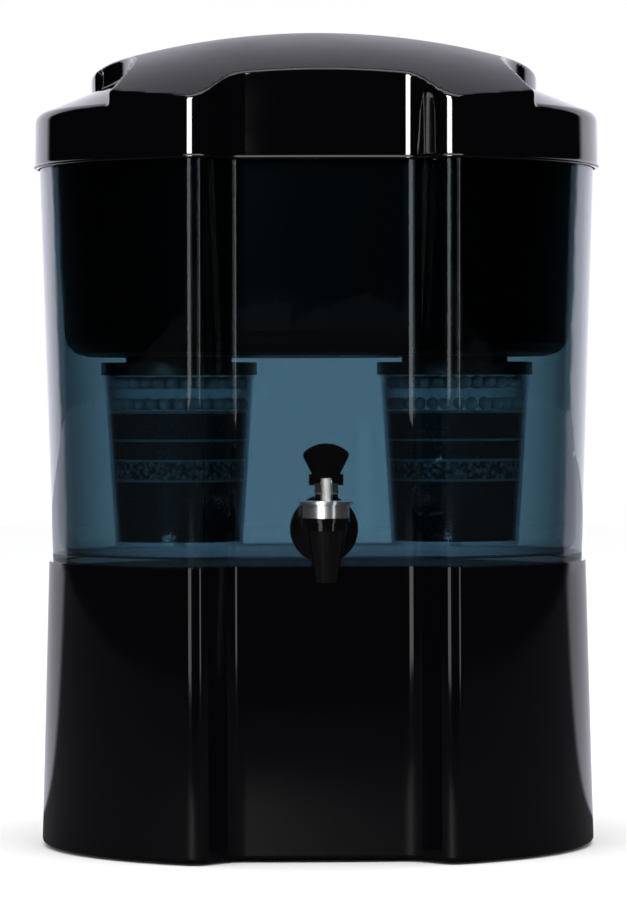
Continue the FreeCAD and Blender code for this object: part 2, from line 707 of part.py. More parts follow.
def make_reservoir():
    """The opaque upper reservoir, whose rim hangs on the tank."""
    outer = plan_form("reservoir_outer", "reservoir_bottom", "tank_top", "reservoir_radius_low",
                      "reservoir_radius_high", "0", "reservoir_corner")
    rim_radius = "tank_radius_high - rim_inset"
    rim = plan_form("reservoir_rim", "tank_top", RIM_TOP, rim_radius, rim_radius, "rim_inset")
    core = plan_form("reservoir_core", RESERVOIR_FLOOR_TOP, RIM_TOP + " + 1",
                     "reservoir_radius_low - reservoir_wall",
                     "reservoir_radius_high - reservoir_wall", "reservoir_wall",
                     "(reservoir_corner - reservoir_wall)")
    holes = [
        upright_cylinder("spigot_hole_%s" % side, "spigot_radius + spigot_play",
                         "reservoir_floor + 2", x, "0", "reservoir_bottom - 1")
        for side, x in CARTRIDGES
    ]
    stock = joined("reservoir_stock", [outer, rim])
    reservoir = cut_out("upper_reservoir", stock, joined("reservoir_cuts", [core] + holes))
    return [move(reservoir, "0", PLAN_Y)]


# Lid

def dome_form(label, inset="0"):
    """A solid whose top is the dome: one arc swept round a level axis."""
    body = new_body(label, "0", "0", "lid_top - dome_radius_along")
    half = "(lid_radius_low + 2 * past)"
    along = "(dome_radius_along - (%s))" % inset
    across = "(dome_radius_across - (%s))" % inset
    side = "(%s - %s + sqrt(%s^2 - %s^2))" % (along, across, across, half)
    corners = [
        ("-" + half, "0"),
        (half, "0"),
        (half, side, across, 1),
        ("-" + half, side),
    ]
    sketch = draw(new_sketch(body, "XZ_Plane"), corners)
    feature = body.newObject("PartDesign::Revolution", label + "_turn")
    feature.Profile = sketch
    feature.ReferenceAxis = (sketch, ["H_Axis"])
    feature.Angle = 360
    DOC.recompute()
    return body


def scoop_form(label, grow="0"):
    """The finger scoop on the right of the lid: an S-shaped wall over a sloping floor."""
    outside = "(lid_radius_low + 3 * past)"
    front = "(scoop_neck_y - scoop_lead)"
    hollow = "(scoop_radius + (%s))" % grow
    swell = "(scoop_radius - (%s))" % grow
    across = "(scoop_neck - scoop_waist + 2 * scoop_radius)"
    drift = "sqrt(4 * scoop_radius^2 - %s^2)" % across
    first_x = "(scoop_neck + scoop_radius)"
    bend_x = "(%s - %s * %s / (2 * scoop_radius))" % (first_x, hollow, across)
    bend_y = "(scoop_neck_y + %s * %s / (2 * scoop_radius))" % (hollow, drift)
    front_x = "(%s - sqrt(%s^2 - scoop_lead^2))" % (first_x, hollow)
    waist_x = "(scoop_waist - (%s))" % grow
    waist_y = "(scoop_neck_y + %s)" % drift
    rear = "(scoop_rear + (%s))" % grow
    plan = new_body(label + "_plan")
    corners = [
        (front_x, front),
        (outside, front),
        (outside, rear),
        (waist_x, rear),
        (waist_x, waist_y, swell, -1),
        (bend_x, bend_y, hollow, 1),
    ]
    pad(plan, draw(new_sketch(plan, "XY_Plane", "lid_bottom"), corners), "lid_top - lid_bottom")
    slope = "(scoop_floor_outer - scoop_floor_inner) / (lid_radius_low - scoop_waist)"
    sink = "(%s) * sqrt(1 + (%s)^2)" % (grow, slope)
    inner_x = "(scoop_neck - past - (%s))" % grow
    inner_z = "(scoop_floor_inner - %s + (%s - scoop_waist) * %s)" % (sink, inner_x, slope)
    outer_z = "(scoop_floor_inner - %s + (%s - scoop_waist) * %s)" % (sink, outside, slope)
    wedge = new_body(label + "_wedge")
    corners = [(inner_x, inner_z), (outside, outer_z), (outside, "lid_top"), (inner_x, "lid_top")]
    pad(wedge, draw(new_sketch(wedge, "XZ_Plane"), corners), "4 * lid_radius_low", True)
    right = overlap(label + "_right", plan, wedge)
    left = DOC.addObject("Part::Mirroring", label + "_left")
    left.Source = right
    left.Normal = Vector(1, 0, 0)
    return [right, left]


def vent_form():
    """The slot in the wall of the left scoop."""
    body = new_body("vent_form", "-(scoop_waist - vent_inset)", "vent_y", "vent_middle")
    half_wide = "vent_wide / 2"
    half_high = "vent_high / 2"
    corners = [
        ("-" + half_wide, "-" + half_high),
        (half_wide, "-" + half_high),
        (half_wide, half_high),
        ("-" + half_wide, half_high),
    ]
    pad(body, draw(new_sketch(body, "YZ_Plane"), corners), "vent_deep", True)
    deep = value_of("vent_deep")
    round_edges(body, lambda edge: edge.BoundBox.XLength > deep / 2, "vent_round")
    body.Placement.Rotation = FreeCAD.Rotation(Vector(0, 0, 1), value_of("vent_turn"))
    return body


def make_lid():
    """The lid: a skirt under a dome, a ledge inside, two finger scoops and a vent slot."""
    outset = "-(lid_radius_low - tank_radius_high)"
    prism = plan_form("lid_prism", "lid_bottom", "lid_top + past", "lid_radius_low",
                      "lid_radius_high", outset)
    outer = cut_out("lid_outer", overlap("lid_domed", prism, dome_form("dome_outer")),
                    joined("lid_scoops", scoop_form("scoop")))
    skirt_inset = "%s + lid_wall" % outset
    skirt_core = plan_form("skirt_core", "lid_bottom - 1", RIM_TOP, "lid_radius_low - lid_wall",
                           "lid_radius_low - lid_wall", skirt_inset)
    crown_core = plan_form("crown_core", RIM_TOP + " - 1", "lid_top + past",
                           "lid_radius_high - lid_wall - lid_seat",
                           "lid_radius_high - lid_wall - lid_seat", skirt_inset + " + lid_seat")
    stepped = joined("lid_core_stepped", [skirt_core, crown_core])
    domed_core = overlap("lid_core_domed", stepped, dome_form("dome_inner", "lid_wall"))
    core = cut_out("lid_core", domed_core, joined("core_scoops", scoop_form("core_scoop", "lid_wall")))
    hollow = cut_out("lid_hollow", outer, core)
    whole = cut_out("lid_whole", hollow, vent_form())
    below = upright_cylinder("below_dome", "lid_radius_low + past", "seam_level")
    dome = cut_out("lid_dome", whole, below)
    skirt = overlap("lid_skirt", whole, below)
    return [move(dome, "0", PLAN_Y), move(skirt, "0", PLAN_Y)]


# Cartridges

def cup_radius_at(level, inset):
    """Radius of the cup's taper at a height, less an inset."""
    slope = "(cup_radius_high - cup_radius_low) / (cup_top - cup_bottom)"
    return "(cup_radius_low + (%s - cup_bottom) * %s - (%s))" % (level, slope, inset)


def slug(label, low, high, inset, x):
    """A tapered plug that fills the cup between two heights."""
    corners = [
        ("0", low),
        (cup_radius_at(low, inset), low),
        (cup_radius_at(high, inset), high),
        ("0", high),
    ]
    return turned(label, corners, x, PLAN_Y)


def make_nut(label, x):
    """The ring nut that holds a cartridge, with hollow grips round its rim."""
    nut = turned(label, [
        ("spigot_radius + cap_play", RESERVOIR_FLOOR_TOP),
        ("nut_radius", RESERVOIR_FLOOR_TOP),
        ("nut_radius", NUT_TOP),
        ("spigot_radius + cap_play", NUT_TOP),
    ], x, PLAN_Y)
    sketch = draw_circle(new_sketch(nut, "XY_Plane", RESERVOIR_FLOOR_TOP), "grip_radius",
                         "nut_radius + grip_offset", "0")
    grip = pocket(nut, sketch, "nut_high")
    repeat_round(nut, grip, sketch, "nut_grips")
    return nut


def make_strainer(label, x):
    """The slotted dome that keeps grit out of a cartridge's inlet."""
    base = NUT_TOP
    top = "(%s + strainer_high)" % base
    strainer = turned(label, [
        ("strainer_radius - strainer_wall", base),
        ("strainer_radius", base),
        ("strainer_radius", "%s - strainer_wall" % top),
        ("strainer_radius - strainer_wall", top),
        ("0", top),
        ("0", "%s - strainer_wall" % top),
        ("strainer_radius - strainer_wall", "%s - strainer_wall" % top),
    ], x, PLAN_Y)
    low = "%s + strainer_wall" % base
    high = "%s - 2 * strainer_wall" % top
    sketch = draw(new_sketch(strainer, "XZ_Plane"), [
        ("-strainer_slot / 2", low),
        ("strainer_slot / 2", low),
        ("strainer_slot / 2", high),
        ("-strainer_slot / 2", high),
    ])
    slot = pocket(strainer, sketch, "strainer_radius + 1")
    pattern = strainer.newObject("PartDesign::PolarPattern", label + "_slots")
    pattern.Originals = [slot]
    pattern.Axis = (origin_axis(strainer), [""])
    pattern.Angle = 360
    bind(pattern, "Occurrences", "strainer_slots")
    strainer.Tip = pattern
    DOC.recompute()
    return strainer


def make_cartridge(side, x):
    """One filter cartridge: cup, cap, gasket, nut, strainer, media and separator discs."""
    floor = "(cup_bottom + cup_floor)"
    cup = turned("filter_cup_" + side, [
        ("outlet_radius", "cup_bottom"),
        ("cup_radius_low", "cup_bottom"),
        ("cup_radius_high", "cup_top"),
        ("cup_radius_high - cup_wall", "cup_top"),
        (cup_radius_at(floor, "cup_wall"), floor),
        ("outlet_radius", floor),
    ], x, PLAN_Y)
    plate_under = "(cap_top - cap_plate)"
    cap = turned("filter_cap_" + side, [
        ("spigot_bore", plate_under),
        ("cup_radius_high + cap_play", plate_under),
        ("cup_radius_high + cap_play", "cap_bottom"),
        ("cap_radius", "cap_bottom"),
        ("cap_radius", "cap_top"),
        ("spigot_radius", "cap_top"),
        ("spigot_radius", "spigot_top"),
        ("spigot_bore", "spigot_top"),
    ], x, PLAN_Y)
    gasket = turned("filter_gasket_" + side, [
        ("spigot_radius + cap_play", "cap_top"),
        ("neck_radius", "cap_top"),
        ("neck_radius", "reservoir_bottom"),
        ("spigot_radius + cap_play", "reservoir_bottom"),
    ], x, PLAN_Y)
    inset = "cup_wall + media_play"
    levels = ["disc_level_%d" % number for number in range(1, 5)]
    beds = [
        slug("base_bed_" + side, floor, levels[0], inset, x),
        slug("mineral_bed_" + side, levels[0] + " + disc_thick", levels[1], inset, x),
        slug("lower_carbon_" + side, levels[1] + " + disc_thick", levels[2], inset, x),
        slug("upper_carbon_" + side, levels[2] + " + disc_thick", levels[3], inset, x),
        slug("pebble_bed_" + side, levels[3] + " + disc_thick", "media_top", inset, x),
    ]
    discs = [
        slug("disc_%d_%s" % (number, side), level, level + " + disc_thick", inset, x)
        for number, level in enumerate(levels, 1)
    ]
    separators = joined("separators_" + side, discs)
    nut = make_nut("filter_nut_" + side, x)
    strainer = make_strainer("inlet_strainer_" + side, x)
    return [cup, cap, gasket, nut, strainer, separators] + beds


# Tap

def tap_body():
    """The tap's black moulding: flange, threaded shank, barrel, valve chamber and spout."""
    ring_low = "(collar_bottom - body_ring_high)"
    neck_top = "(collar_bottom + neck_thread_high)"
    back = "(tap_throw + flange_thick)"
    body = turned("tap_body", [
        ("0", "spout_bottom"),
        ("spout_radius_low", "spout_bottom"),
        ("spout_radius_high", "tap_height"),
        ("body_radius", "tap_height"),
        ("body_radius", ring_low),
        ("body_ring_radius", ring_low),
        ("body_ring_radius", "collar_bottom"),
        ("neck_thread_radius", "collar_bottom"),
        ("neck_thread_radius", neck_top),
        ("0", neck_top),
    ], "0", TAP_Y)
    steps = [
        ("flange_radius", "-%s" % back, "flange_thick"),
        ("barrel_radius", "-tap_throw", "tap_throw"),
        ("shank_radius", "-(%s + shank_long)" % back, "shank_long + flange_thick"),
    ]
    for radius, lift, length in steps:
        sketch = draw_circle(new_sketch(body, "XZ_Plane", lift), radius, "0", "tap_height")
        pad(body, sketch, length)
    lip = new_sketch(body, "XZ_Plane", "-tap_throw")
    draw_circle(lip, "flange_radius", "0", "tap_height")
    draw_circle(lip, "flange_radius - flange_lip_wide", "0", "tap_height")
    pad(body, lip, "flange_lip")
    rib = draw(new_sketch(body, "YZ_Plane"), [
        ("-(spout_radius_high + spout_rib / 2)", "tap_height"),
        ("-(spout_radius_low + spout_rib)", "spout_bottom + spout_rib"),
        ("-spout_bore", "spout_bottom + spout_rib"),
        ("-spout_bore", "tap_height"),
    ])
    pad(body, rib, "2 * spout_fin", True)
    turn_solid(body, [
        ("0", "spout_bottom"),
        ("spout_bore", "spout_bottom"),
        ("spout_bore", "valve_seat"),
        ("chamber_radius", "valve_seat"),
        ("chamber_radius", neck_top),
        ("0", neck_top),
    ], cut=True)
    way = draw_circle(new_sketch(body, "XZ_Plane", "-(%s + shank_long)" % back), "shank_bore",
                      "0", "tap_height")
    pocket(body, way, "%s + shank_long" % back)
    return body


def tap_ring(label, inner, outer, near_y, thick):
    """A flat ring round the shank, with its front face at near_y from the plan's axis."""
    ring = new_body(label, "0", "(%s - %s)" % (PLAN_Y, near_y))
    sketch = new_sketch(ring, "XZ_Plane", "-(%s)" % thick)
    draw_circle(sketch, outer, "0", "tap_height")
    draw_circle(sketch, inner, "0", "tap_height")
    pad(ring, sketch, thick)
    return ring


def lock_nut():
    """The hexagonal nut that clamps the tap from inside the tank."""
    nut = new_body("tap_lock_nut", "0", "(%s - (%s - gasket_thick))" % (PLAN_Y, BOSS_INNER))
    sketch = new_sketch(nut, "XZ_Plane", "-lock_nut_high")
    across = "(lock_nut_flats / sqrt(3))"
    corners = [
        ("%s * cos(%d)" % (across, angle), "tap_height + %s * sin(%d)" % (across, angle))
        for angle in range(0, 360, 60)
    ]
    draw(sketch, corners)
    draw_circle(sketch, "shank_radius + thread_play", "0", "tap_height")
    pad(nut, sketch, "lock_nut_high")
    return nut


def tap_collar():
    """The plated collar that caps the valve chamber and guides the stem."""
    bore = "stem_radius + stem_play"
    under = "(collar_top - collar_plate)"
    return turned("tap_collar", [
        (bore, "collar_top"),
        ("collar_flange", "collar_top"),
        ("collar_flange", "collar_top - collar_flange_thick"),
        ("collar_radius", "collar_top - collar_flange_thick"),
        ("collar_radius", "collar_bottom"),
        ("neck_thread_radius + thread_play", "collar_bottom"),
        ("neck_thread_radius + thread_play", under),
        (bore, under),
    ], "0", TAP_Y)


def tap_stem():
    """The valve stem with the eye for the lever pin."""
    stem = turned("tap_stem", [
        ("0", CUP_SOCKET),
        ("stem_radius", CUP_SOCKET),
        ("stem_radius", "stem_top"),
        ("0", "stem_top"),
    ], "0", TAP_Y)
    eye = draw_circle(new_sketch(stem, "YZ_Plane"), "pin_radius", "0", "pin_height")
    pocket(stem, eye, "4 * stem_radius", True, True)
    return stem


def seat_cup():
    """The silicone cup on the stem's foot that closes the valve."""
    top = "(%s + seat_cup_high)" % CUP_BASE
    return turned("tap_seat_cup", [
        ("0", CUP_BASE),
        ("seat_cup_radius", CUP_BASE),
        ("seat_cup_radius", CUP_SHOULDER),
        ("spring_radius - spring_wire", CUP_SHOULDER),
        ("spring_radius - spring_wire", top),
        ("stem_radius", top),
        ("stem_radius", CUP_SOCKET),
        ("0", CUP_SOCKET),
    ], "0", TAP_Y)


def valve_spring():
    """The coil spring that holds the seat cup down."""
    spring = new_body("tap_spring", "0", TAP_Y)
    low = "(%s + spring_wire / 2)" % CUP_SHOULDER
    high = "(collar_top - collar_plate - spring_wire / 2)"
    sketch = draw_circle(new_sketch(spring, "XZ_Plane"), "spring_wire / 2", "spring_radius", low)
    helix = spring.newObject("PartDesign::AdditiveHelix", "spring_coil")
    helix.Profile = sketch
    helix.ReferenceAxis = (sketch, ["V_Axis"])
    helix.Mode = "height-turns-angle"
    bind(helix, "Height", "%s - %s" % (high, low))
    bind(helix, "Turns", "spring_turns")
    DOC.recompute()
    return spring


def tap_lever():
    """The lever: a fan-shaped paddle over a forked yoke whose legs are cams on the collar."""
    lever = new_body("tap_lever", "0", TAP_Y)
    rise = "(lever_top - paddle_wide_at)"
    crown = "((paddle_half^2 + %s^2) / (2 * %s))" % (rise, rise)
    paddle = draw(new_sketch(lever, "XZ_Plane"), [
        ("paddle_neck_half", "paddle_neck_at - neck_sink"),
        ("paddle_half", "paddle_wide_at", crown, 1),
        ("-paddle_half", "paddle_wide_at"),
        ("-paddle_neck_half", "paddle_neck_at - neck_sink"),
    ])
    pad(lever, paddle, "paddle_thick", True)
    level = value_of("paddle_wide_at")
    half = value_of("paddle_half")

    def is_paddle_corner(edge):
        box, middle = edge_span(edge)
        return abs(middle.z - level) < 0.1 and abs(abs(middle.x) - half) < 0.1 and box.YLength > 1

    round_edges(lever, is_paddle_corner, "paddle_round")
    yoke = draw(new_sketch(lever, "YZ_Plane"), [
        ("-yoke_deep / 2", "yoke_bottom"),
        ("yoke_deep / 2", "yoke_bottom"),
        ("yoke_deep / 2", "paddle_neck_at"),
        ("-yoke_deep / 2", "paddle_neck_at"),
    ])
    pad(lever, yoke, "2 * yoke_half", True)
    cam_radius = "(pin_height - collar_top - cam_gap + stem_lift / 2)"
    centre_y = "(-stem_lift / (2 * tan(lever_tilt / 2)))"
    centre_z = "(pin_height + stem_lift / 2)"
    nose = "(lever_tilt + 2)"
    cam = draw(new_sketch(lever, "YZ_Plane"), [
        ("cam_back", "yoke_bottom + cam_sink"),
        ("-yoke_deep / 2", "yoke_bottom + cam_sink"),
        ("%s - %s * sin(%s)" % (centre_y, cam_radius, nose),
         "%s - %s * cos(%s)" % (centre_z, cam_radius, nose), cam_radius, 1),
        (centre_y, "%s - %s" % (centre_z, cam_radius)),
        ("cam_back", "collar_top + cam_back"),
    ])
    pad(lever, cam, "2 * leg_outer", True)
    gap = draw(new_sketch(lever, "YZ_Plane"), [
        ("-2 * yoke_deep", "collar_top"),
        ("2 * yoke_deep", "collar_top"),
        ("2 * yoke_deep", "pin_height"),
        ("-2 * yoke_deep", "pin_height"),
    ])
    pocket(lever, gap, "2 * leg_inner", True, True)
    crook = draw_circle(new_sketch(lever, "YZ_Plane"), "crook_radius", "0", "pin_height")
    pocket(lever, crook, "2 * leg_inner", True, True)
    bore = draw_circle(new_sketch(lever, "YZ_Plane"), "pin_radius + pin_play", "0", "pin_height")
    pocket(lever, bore, "4 * yoke_half", True, True)
    return lever


def lever_pin():
    """The pin that joins the lever to the stem."""
    pin = new_body("tap_lever_pin", "0", TAP_Y)
    sketch = draw_circle(new_sketch(pin, "YZ_Plane"), "pin_radius", "0", "pin_height")
    pad(pin, sketch, "2 * (yoke_half - pin_overhang)", True)
    return pin


def make_tap():
    """All the pieces of the tap."""
    bore = "shank_radius + thread_play"
    return [
        tap_body(),
        tap_ring("tap_outer_gasket", bore, "gasket_radius", BOSS_FACE, "-gasket_thick"),
        tap_ring("tap_inner_gasket", bore, "gasket_radius", BOSS_INNER, "gasket_thick"),
        lock_nut(),
        tap_collar(),
        valve_spring(),
        tap_stem(),
        seat_cup(),
        lever_pin(),
        tap_lever(),
    ]


# The whole model

def check_objects():
    """Stop if any object of the document has failed."""
    failed = [item.Name for item in DOC.Objects if {"Invalid", "Error"} & set(item.State)]
    if failed:
        raise RuntimeError("these objects failed: " + ", ".join(failed))


def write_parts(pieces):
    """Write each sub-part to a STEP file that bears its label."""
    os.makedirs("parts", exist_ok=True)
    for piece in pieces:
        if piece.Shape.isNull() or not piece.Shape.isValid():
            raise RuntimeError(piece.Label + " has no valid shape")
    for piece in pieces:
        piece.Shape.exportStep("parts/%s.step" % piece.Label)
        print("%-24s %3d solids %12.1f mm3" % (piece.Label, len(piece.Shape.Solids),
                                             piece.Shape.Volume))


def main():
    """Build every piece, test it and write it."""
    pieces = make_base() + make_tank() + make_reservoir() + make_lid()
    for side, x in CARTRIDGES:
        pieces += make_cartridge(side, x)
    pieces += make_tap()
    DOC.recompute()
    check_objects()
    write_parts(pieces)


main()
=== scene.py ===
"""Gravity water filter with tap: its studio, its finishes and the pieces that dress the frame."""
import json
import logging
import math
from dataclasses import dataclass, field
from enum import Enum
from typing import Any, Dict, List, Optional, Sequence, Tuple, Union

import bmesh
import bpy
import numpy as np
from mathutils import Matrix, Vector


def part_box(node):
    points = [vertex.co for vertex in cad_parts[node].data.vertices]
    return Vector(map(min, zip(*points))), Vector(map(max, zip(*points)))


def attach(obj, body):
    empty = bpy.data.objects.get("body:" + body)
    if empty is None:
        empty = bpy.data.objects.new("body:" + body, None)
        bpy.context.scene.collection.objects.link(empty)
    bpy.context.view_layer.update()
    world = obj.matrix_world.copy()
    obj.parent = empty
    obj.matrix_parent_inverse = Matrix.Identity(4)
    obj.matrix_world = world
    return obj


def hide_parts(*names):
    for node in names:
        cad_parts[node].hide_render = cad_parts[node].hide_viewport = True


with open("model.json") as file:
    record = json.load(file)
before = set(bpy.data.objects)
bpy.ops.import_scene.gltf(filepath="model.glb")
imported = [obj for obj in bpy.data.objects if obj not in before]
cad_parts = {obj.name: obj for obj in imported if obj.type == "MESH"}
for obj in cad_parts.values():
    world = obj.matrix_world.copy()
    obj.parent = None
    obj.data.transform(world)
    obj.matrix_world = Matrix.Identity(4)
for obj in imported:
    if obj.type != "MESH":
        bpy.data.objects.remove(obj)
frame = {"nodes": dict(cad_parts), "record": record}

LOG = logging.getLogger("water_filter")
MM = 0.001

Colour = Tuple[float, float, float]
Point = Tuple[float, float, float]


# Shader maths


class Wire:
    """A number that runs through a material and takes part in Python sums."""

    def __init__(self, board: "Board", socket: bpy.types.NodeSocket) -> None:
        """Keep the socket and the board that it stands on.

        Args:
            board: the board of the material.
            socket: the output socket that carries the number.
        """
        self.board = board
        self.socket = socket

    def _sum(self, operation: str, first: "Number", second: "Number") -> "Wire":
        """Add a Math node for two numbers.

        Args:
            operation: the Math node's operation.
            first: the first number.
            second: the second number.

        Returns:
            The result as a number of the same board.
        """
        node = self.board.add("ShaderNodeMath", {"operation": operation}, {0: first, 1: second})
        return Wire(self.board, node.outputs[0])

    def __add__(self, other: "Number") -> "Wire":
        """This number plus another."""
        return self._sum("ADD", self, other)

    def __radd__(self, other: "Number") -> "Wire":
        """Another number plus this one."""
        return self._sum("ADD", other, self)

    def __sub__(self, other: "Number") -> "Wire":
        """This number less another."""
        return self._sum("SUBTRACT", self, other)

    def __rsub__(self, other: "Number") -> "Wire":
        """Another number less this one."""
        return self._sum("SUBTRACT", other, self)

    def __mul__(self, other: "Number") -> "Wire":
        """This number times another."""
        return self._sum("MULTIPLY", self, other)

    def __rmul__(self, other: "Number") -> "Wire":
        """Another number times this one."""
        return self._sum("MULTIPLY", other, self)

    def __truediv__(self, other: "Number") -> "Wire":
        """This number over another."""
        return self._sum("DIVIDE", self, other)

    def __rtruediv__(self, other: "Number") -> "Wire":
        """Another number over this one."""
        return self._sum("DIVIDE", other, self)

    def __pow__(self, other: "Number") -> "Wire":
        """This number to a power."""
        return self._sum("POWER", self, other)

    def ramp(self, low: float, high: float) -> "Wire":
        """A smooth step of this number.

        Args:
            low: where the step starts.
            high: where the step ends.

        Returns:
            A number from 0 at low to 1 at high.
        """
        node = self.board.add(
            "ShaderNodeMapRange",
            {"interpolation_type": "SMOOTHSTEP", "clamp": True},
            {"Value": self, "From Min": low, "From Max": high, "To Min": 0.0, "To Max": 1.0},
        )
        return Wire(self.board, node.outputs["Result"])


Number = Union[Wire, float, int]


class Board:
    """The node tree of one material or of the world."""

    def __init__(self, tree: bpy.types.NodeTree) -> None:
        """Clear the tree.

        Args:
            tree: the node tree to build in.
        """
        self.tree = tree
        tree.nodes.clear()

    def add(
        self,
        kind: str,
        settings: Optional[Dict[str, Any]] = None,
        inputs: Optional[Dict[Union[str, int], Any]] = None,
    ) -> bpy.types.Node:
        """Add one node.

        Args:
            kind: the node's type.
            settings: the node's settings, set before its sockets.
            inputs: what each socket holds: a value, a Wire or another node's output socket.

        Returns:
            The node.
        """
        node = self.tree.nodes.new(kind)
        for name, value in (settings or {}).items():
            setattr(node, name, value)
        for name, value in (inputs or {}).items():
            socket = node.inputs[name]
            if isinstance(value, Wire):
                self.tree.links.new(value.socket, socket)
            elif isinstance(value, bpy.types.NodeSocket):
                self.tree.links.new(value, socket)
            elif isinstance(value, tuple) and len(value) == 3 and socket.type == "RGBA":
                socket.default_value = (*value, 1.0)
            else:
                socket.default_value = value
        return node

    def place(self) -> bpy.types.NodeSocket:
        """The point of the surface in the part's own frame, in metres."""
        return self.add("ShaderNodeTexCoord").outputs["Object"]

    def axes(self, vector: bpy.types.NodeSocket) -> Tuple[Wire, Wire, Wire]:
        """Split a vector.

        Args:
            vector: the socket of the vector.

        Returns:
            Its three numbers.
        """
        node = self.add("ShaderNodeSeparateXYZ", None, {0: vector})
        return tuple(Wire(self, node.outputs[index]) for index in range(3))

    def noise(self, scale: float, detail: float = 2.0, rough: float = 0.5) -> Wire:
        """Cloudy noise.

        Args:
            scale: how many features fit in a metre.
            detail: how many finer layers there are.
            rough: how strong the finer layers are.

        Returns:
            The noise, from 0 to 1.
        """
        node = self.add(
            "ShaderNodeTexNoise", None,
            {"Vector": self.place(), "Scale": scale, "Detail": detail, "Roughness": rough},
        )
        return Wire(self, node.outputs[0])

    def cells(self, scale: float, output: str = "Distance") -> Any:
        """Cells such as grains.

        Args:
            scale: how many cells fit in a metre.
            output: which output is wanted.

        Returns:
            A Wire for a number, or the socket for a colour.
        """
        node = self.add(
            "ShaderNodeTexVoronoi", {"feature": "F1"}, {"Vector": self.place(), "Scale": scale}
        )
        socket = node.outputs[output]
        return Wire(self, socket) if socket.type == "VALUE" else socket

    def blend(self, factor: Number, first: Any, second: Any) -> bpy.types.NodeSocket:
        """Mix two colours.

        Args:
            factor: how much of the second colour there is.
            first: a colour or its socket.
            second: a colour or its socket.

        Returns:
            The mixed colour's socket.
        """
        node = self.add("ShaderNodeMix", {"data_type": "RGBA"}, {0: factor, 6: first, 7: second})
        return node.outputs[2]

    def bump(self, height: Wire, strength: float, depth: float) -> bpy.types.NodeSocket:
        """Turn a height into a bent normal.

        Args:
            height: the height over the surface.
            strength: how much of the bend is used.
            depth: the height of 1, in metres.

        Returns:
            The normal's socket.
        """
        node = self.add(
            "ShaderNodeBump", None, {"Height": height, "Strength": strength, "Distance": depth}
        )
        return node.outputs[0]

    def finish(self, surface: bpy.types.NodeSocket, kind: str = "ShaderNodeOutputMaterial") -> None:
        """Lead a shader to the output.

        Args:
            surface: the shader's socket.
            kind: the output node's type.
        """
        self.add(kind, None, {"Surface": surface})


def fresh_material(name: str) -> Tuple[bpy.types.Material, Board]:
    """Make a material with an empty board.

    Args:
        name: the material's name.

    Returns:
        The material and its board.
    """
    material = bpy.data.materials.new(name)
    material.use_nodes = True
    return material, Board(material.node_tree)


# Finishes


@dataclass(frozen=True)
class Moulded:
    """An opaque moulded plastic or rubber."""

    name: str
    colour: Colour
    rough: float
    haze: float = 0.03
    cloud: float = 0.0
    wave: float = 0.00002
    wave_scale: float = 9.0
    grain: float = 0.0
    grain_scale: float = 1800.0
    ior: float = 1.5
    soft: float = 0.0

    def make(self) -> bpy.types.Material:
        """Build the material.

        Returns:
            The material.
        """
        material, board = fresh_material(self.name)
        haze = board.noise(26.0, 4.0, 0.6).ramp(0.35, 0.75)
        rough = self.rough + haze * self.haze
        tint = tuple(min(1.0, part * (1.0 + self.cloud)) for part in self.colour)
        colour = board.blend(board.noise(60.0, 3.0), self.colour, tint)
        height = board.noise(self.wave_scale, 1.0) * self.wave
        if self.grain:
            height = height + board.noise(self.grain_scale, 2.0) * self.grain
        shader = board.add(
            "ShaderNodeBsdfPrincipled", None,
            {"Base Color": colour, "Roughness": rough, "IOR": self.ior,
             "Sheen Weight": self.soft, "Normal": board.bump(height, 1.0, 1.0)},
        )
        board.finish(shader.outputs[0])
        return material


@dataclass(frozen=True)
class Clear:
    """A see-through plastic, tinted once at each face, with a polished skin."""

    name: str
    tint: Colour
    rough: float = 0.02
    body: float = 0.0
    body_colour: Colour = (0.02, 0.03, 0.035)
    edge: float = 0.35
    shine: float = 1.0

    def make(self) -> bpy.types.Material:
        """Build the material.

        Returns:
            The material.
        """
        material, board = fresh_material(self.name)
        height = board.noise(8.0, 1.0) * 0.00002
        normal = board.bump(height, 1.0, 1.0)
        layer = board.add("ShaderNodeLayerWeight", None, {"Blend": 0.5})
        aslant = Wire(board, layer.outputs["Facing"])
        edge = tuple(part * self.edge for part in self.tint)
        tint = board.blend(aslant ** 2.2, self.tint, edge)
        clear = board.add("ShaderNodeBsdfTransparent", None, {"Color": tint})
        skin = board.add(
            "ShaderNodeBsdfGlossy", None,
            {"Color": (1.0, 1.0, 1.0), "Roughness": self.rough, "Normal": normal},
        )
        facing = 0.04 + 0.96 * aslant ** 5.0
        coated = board.add(
            "ShaderNodeMixShader", None,
            {0: facing * self.shine, 1: clear.outputs[0], 2: skin.outputs[0]},
        )
        if self.body:
            murk = board.add(
                "ShaderNodeBsdfPrincipled", None,
                {"Base Color": self.body_colour, "Roughness": self.rough, "Normal": normal},
            )
            coated = board.add(
                "ShaderNodeMixShader", None, {0: self.body, 1: coated.outputs[0], 2: murk.outputs[0]}
            )
        board.finish(coated.outputs[0])
        return material


@dataclass(frozen=True)
class Metal:
    """A plated or drawn metal."""

    name: str
    colour: Colour
    rough: float
    haze: float = 0.05

    def make(self) -> bpy.types.Material:
        """Build the material.

        Returns:
            The material.
        """
        material, board = fresh_material(self.name)
        rough = self.rough + board.noise(300.0, 3.0) * self.haze
        normal = board.bump(board.noise(420.0, 2.0) * 0.00001, 1.0, 1.0)
        shader = board.add(
            "ShaderNodeBsdfPrincipled", None,
            {"Base Color": self.colour, "Metallic": 1.0, "Roughness": rough, "Normal": normal},
        )
        board.finish(shader.outputs[0])
        return material


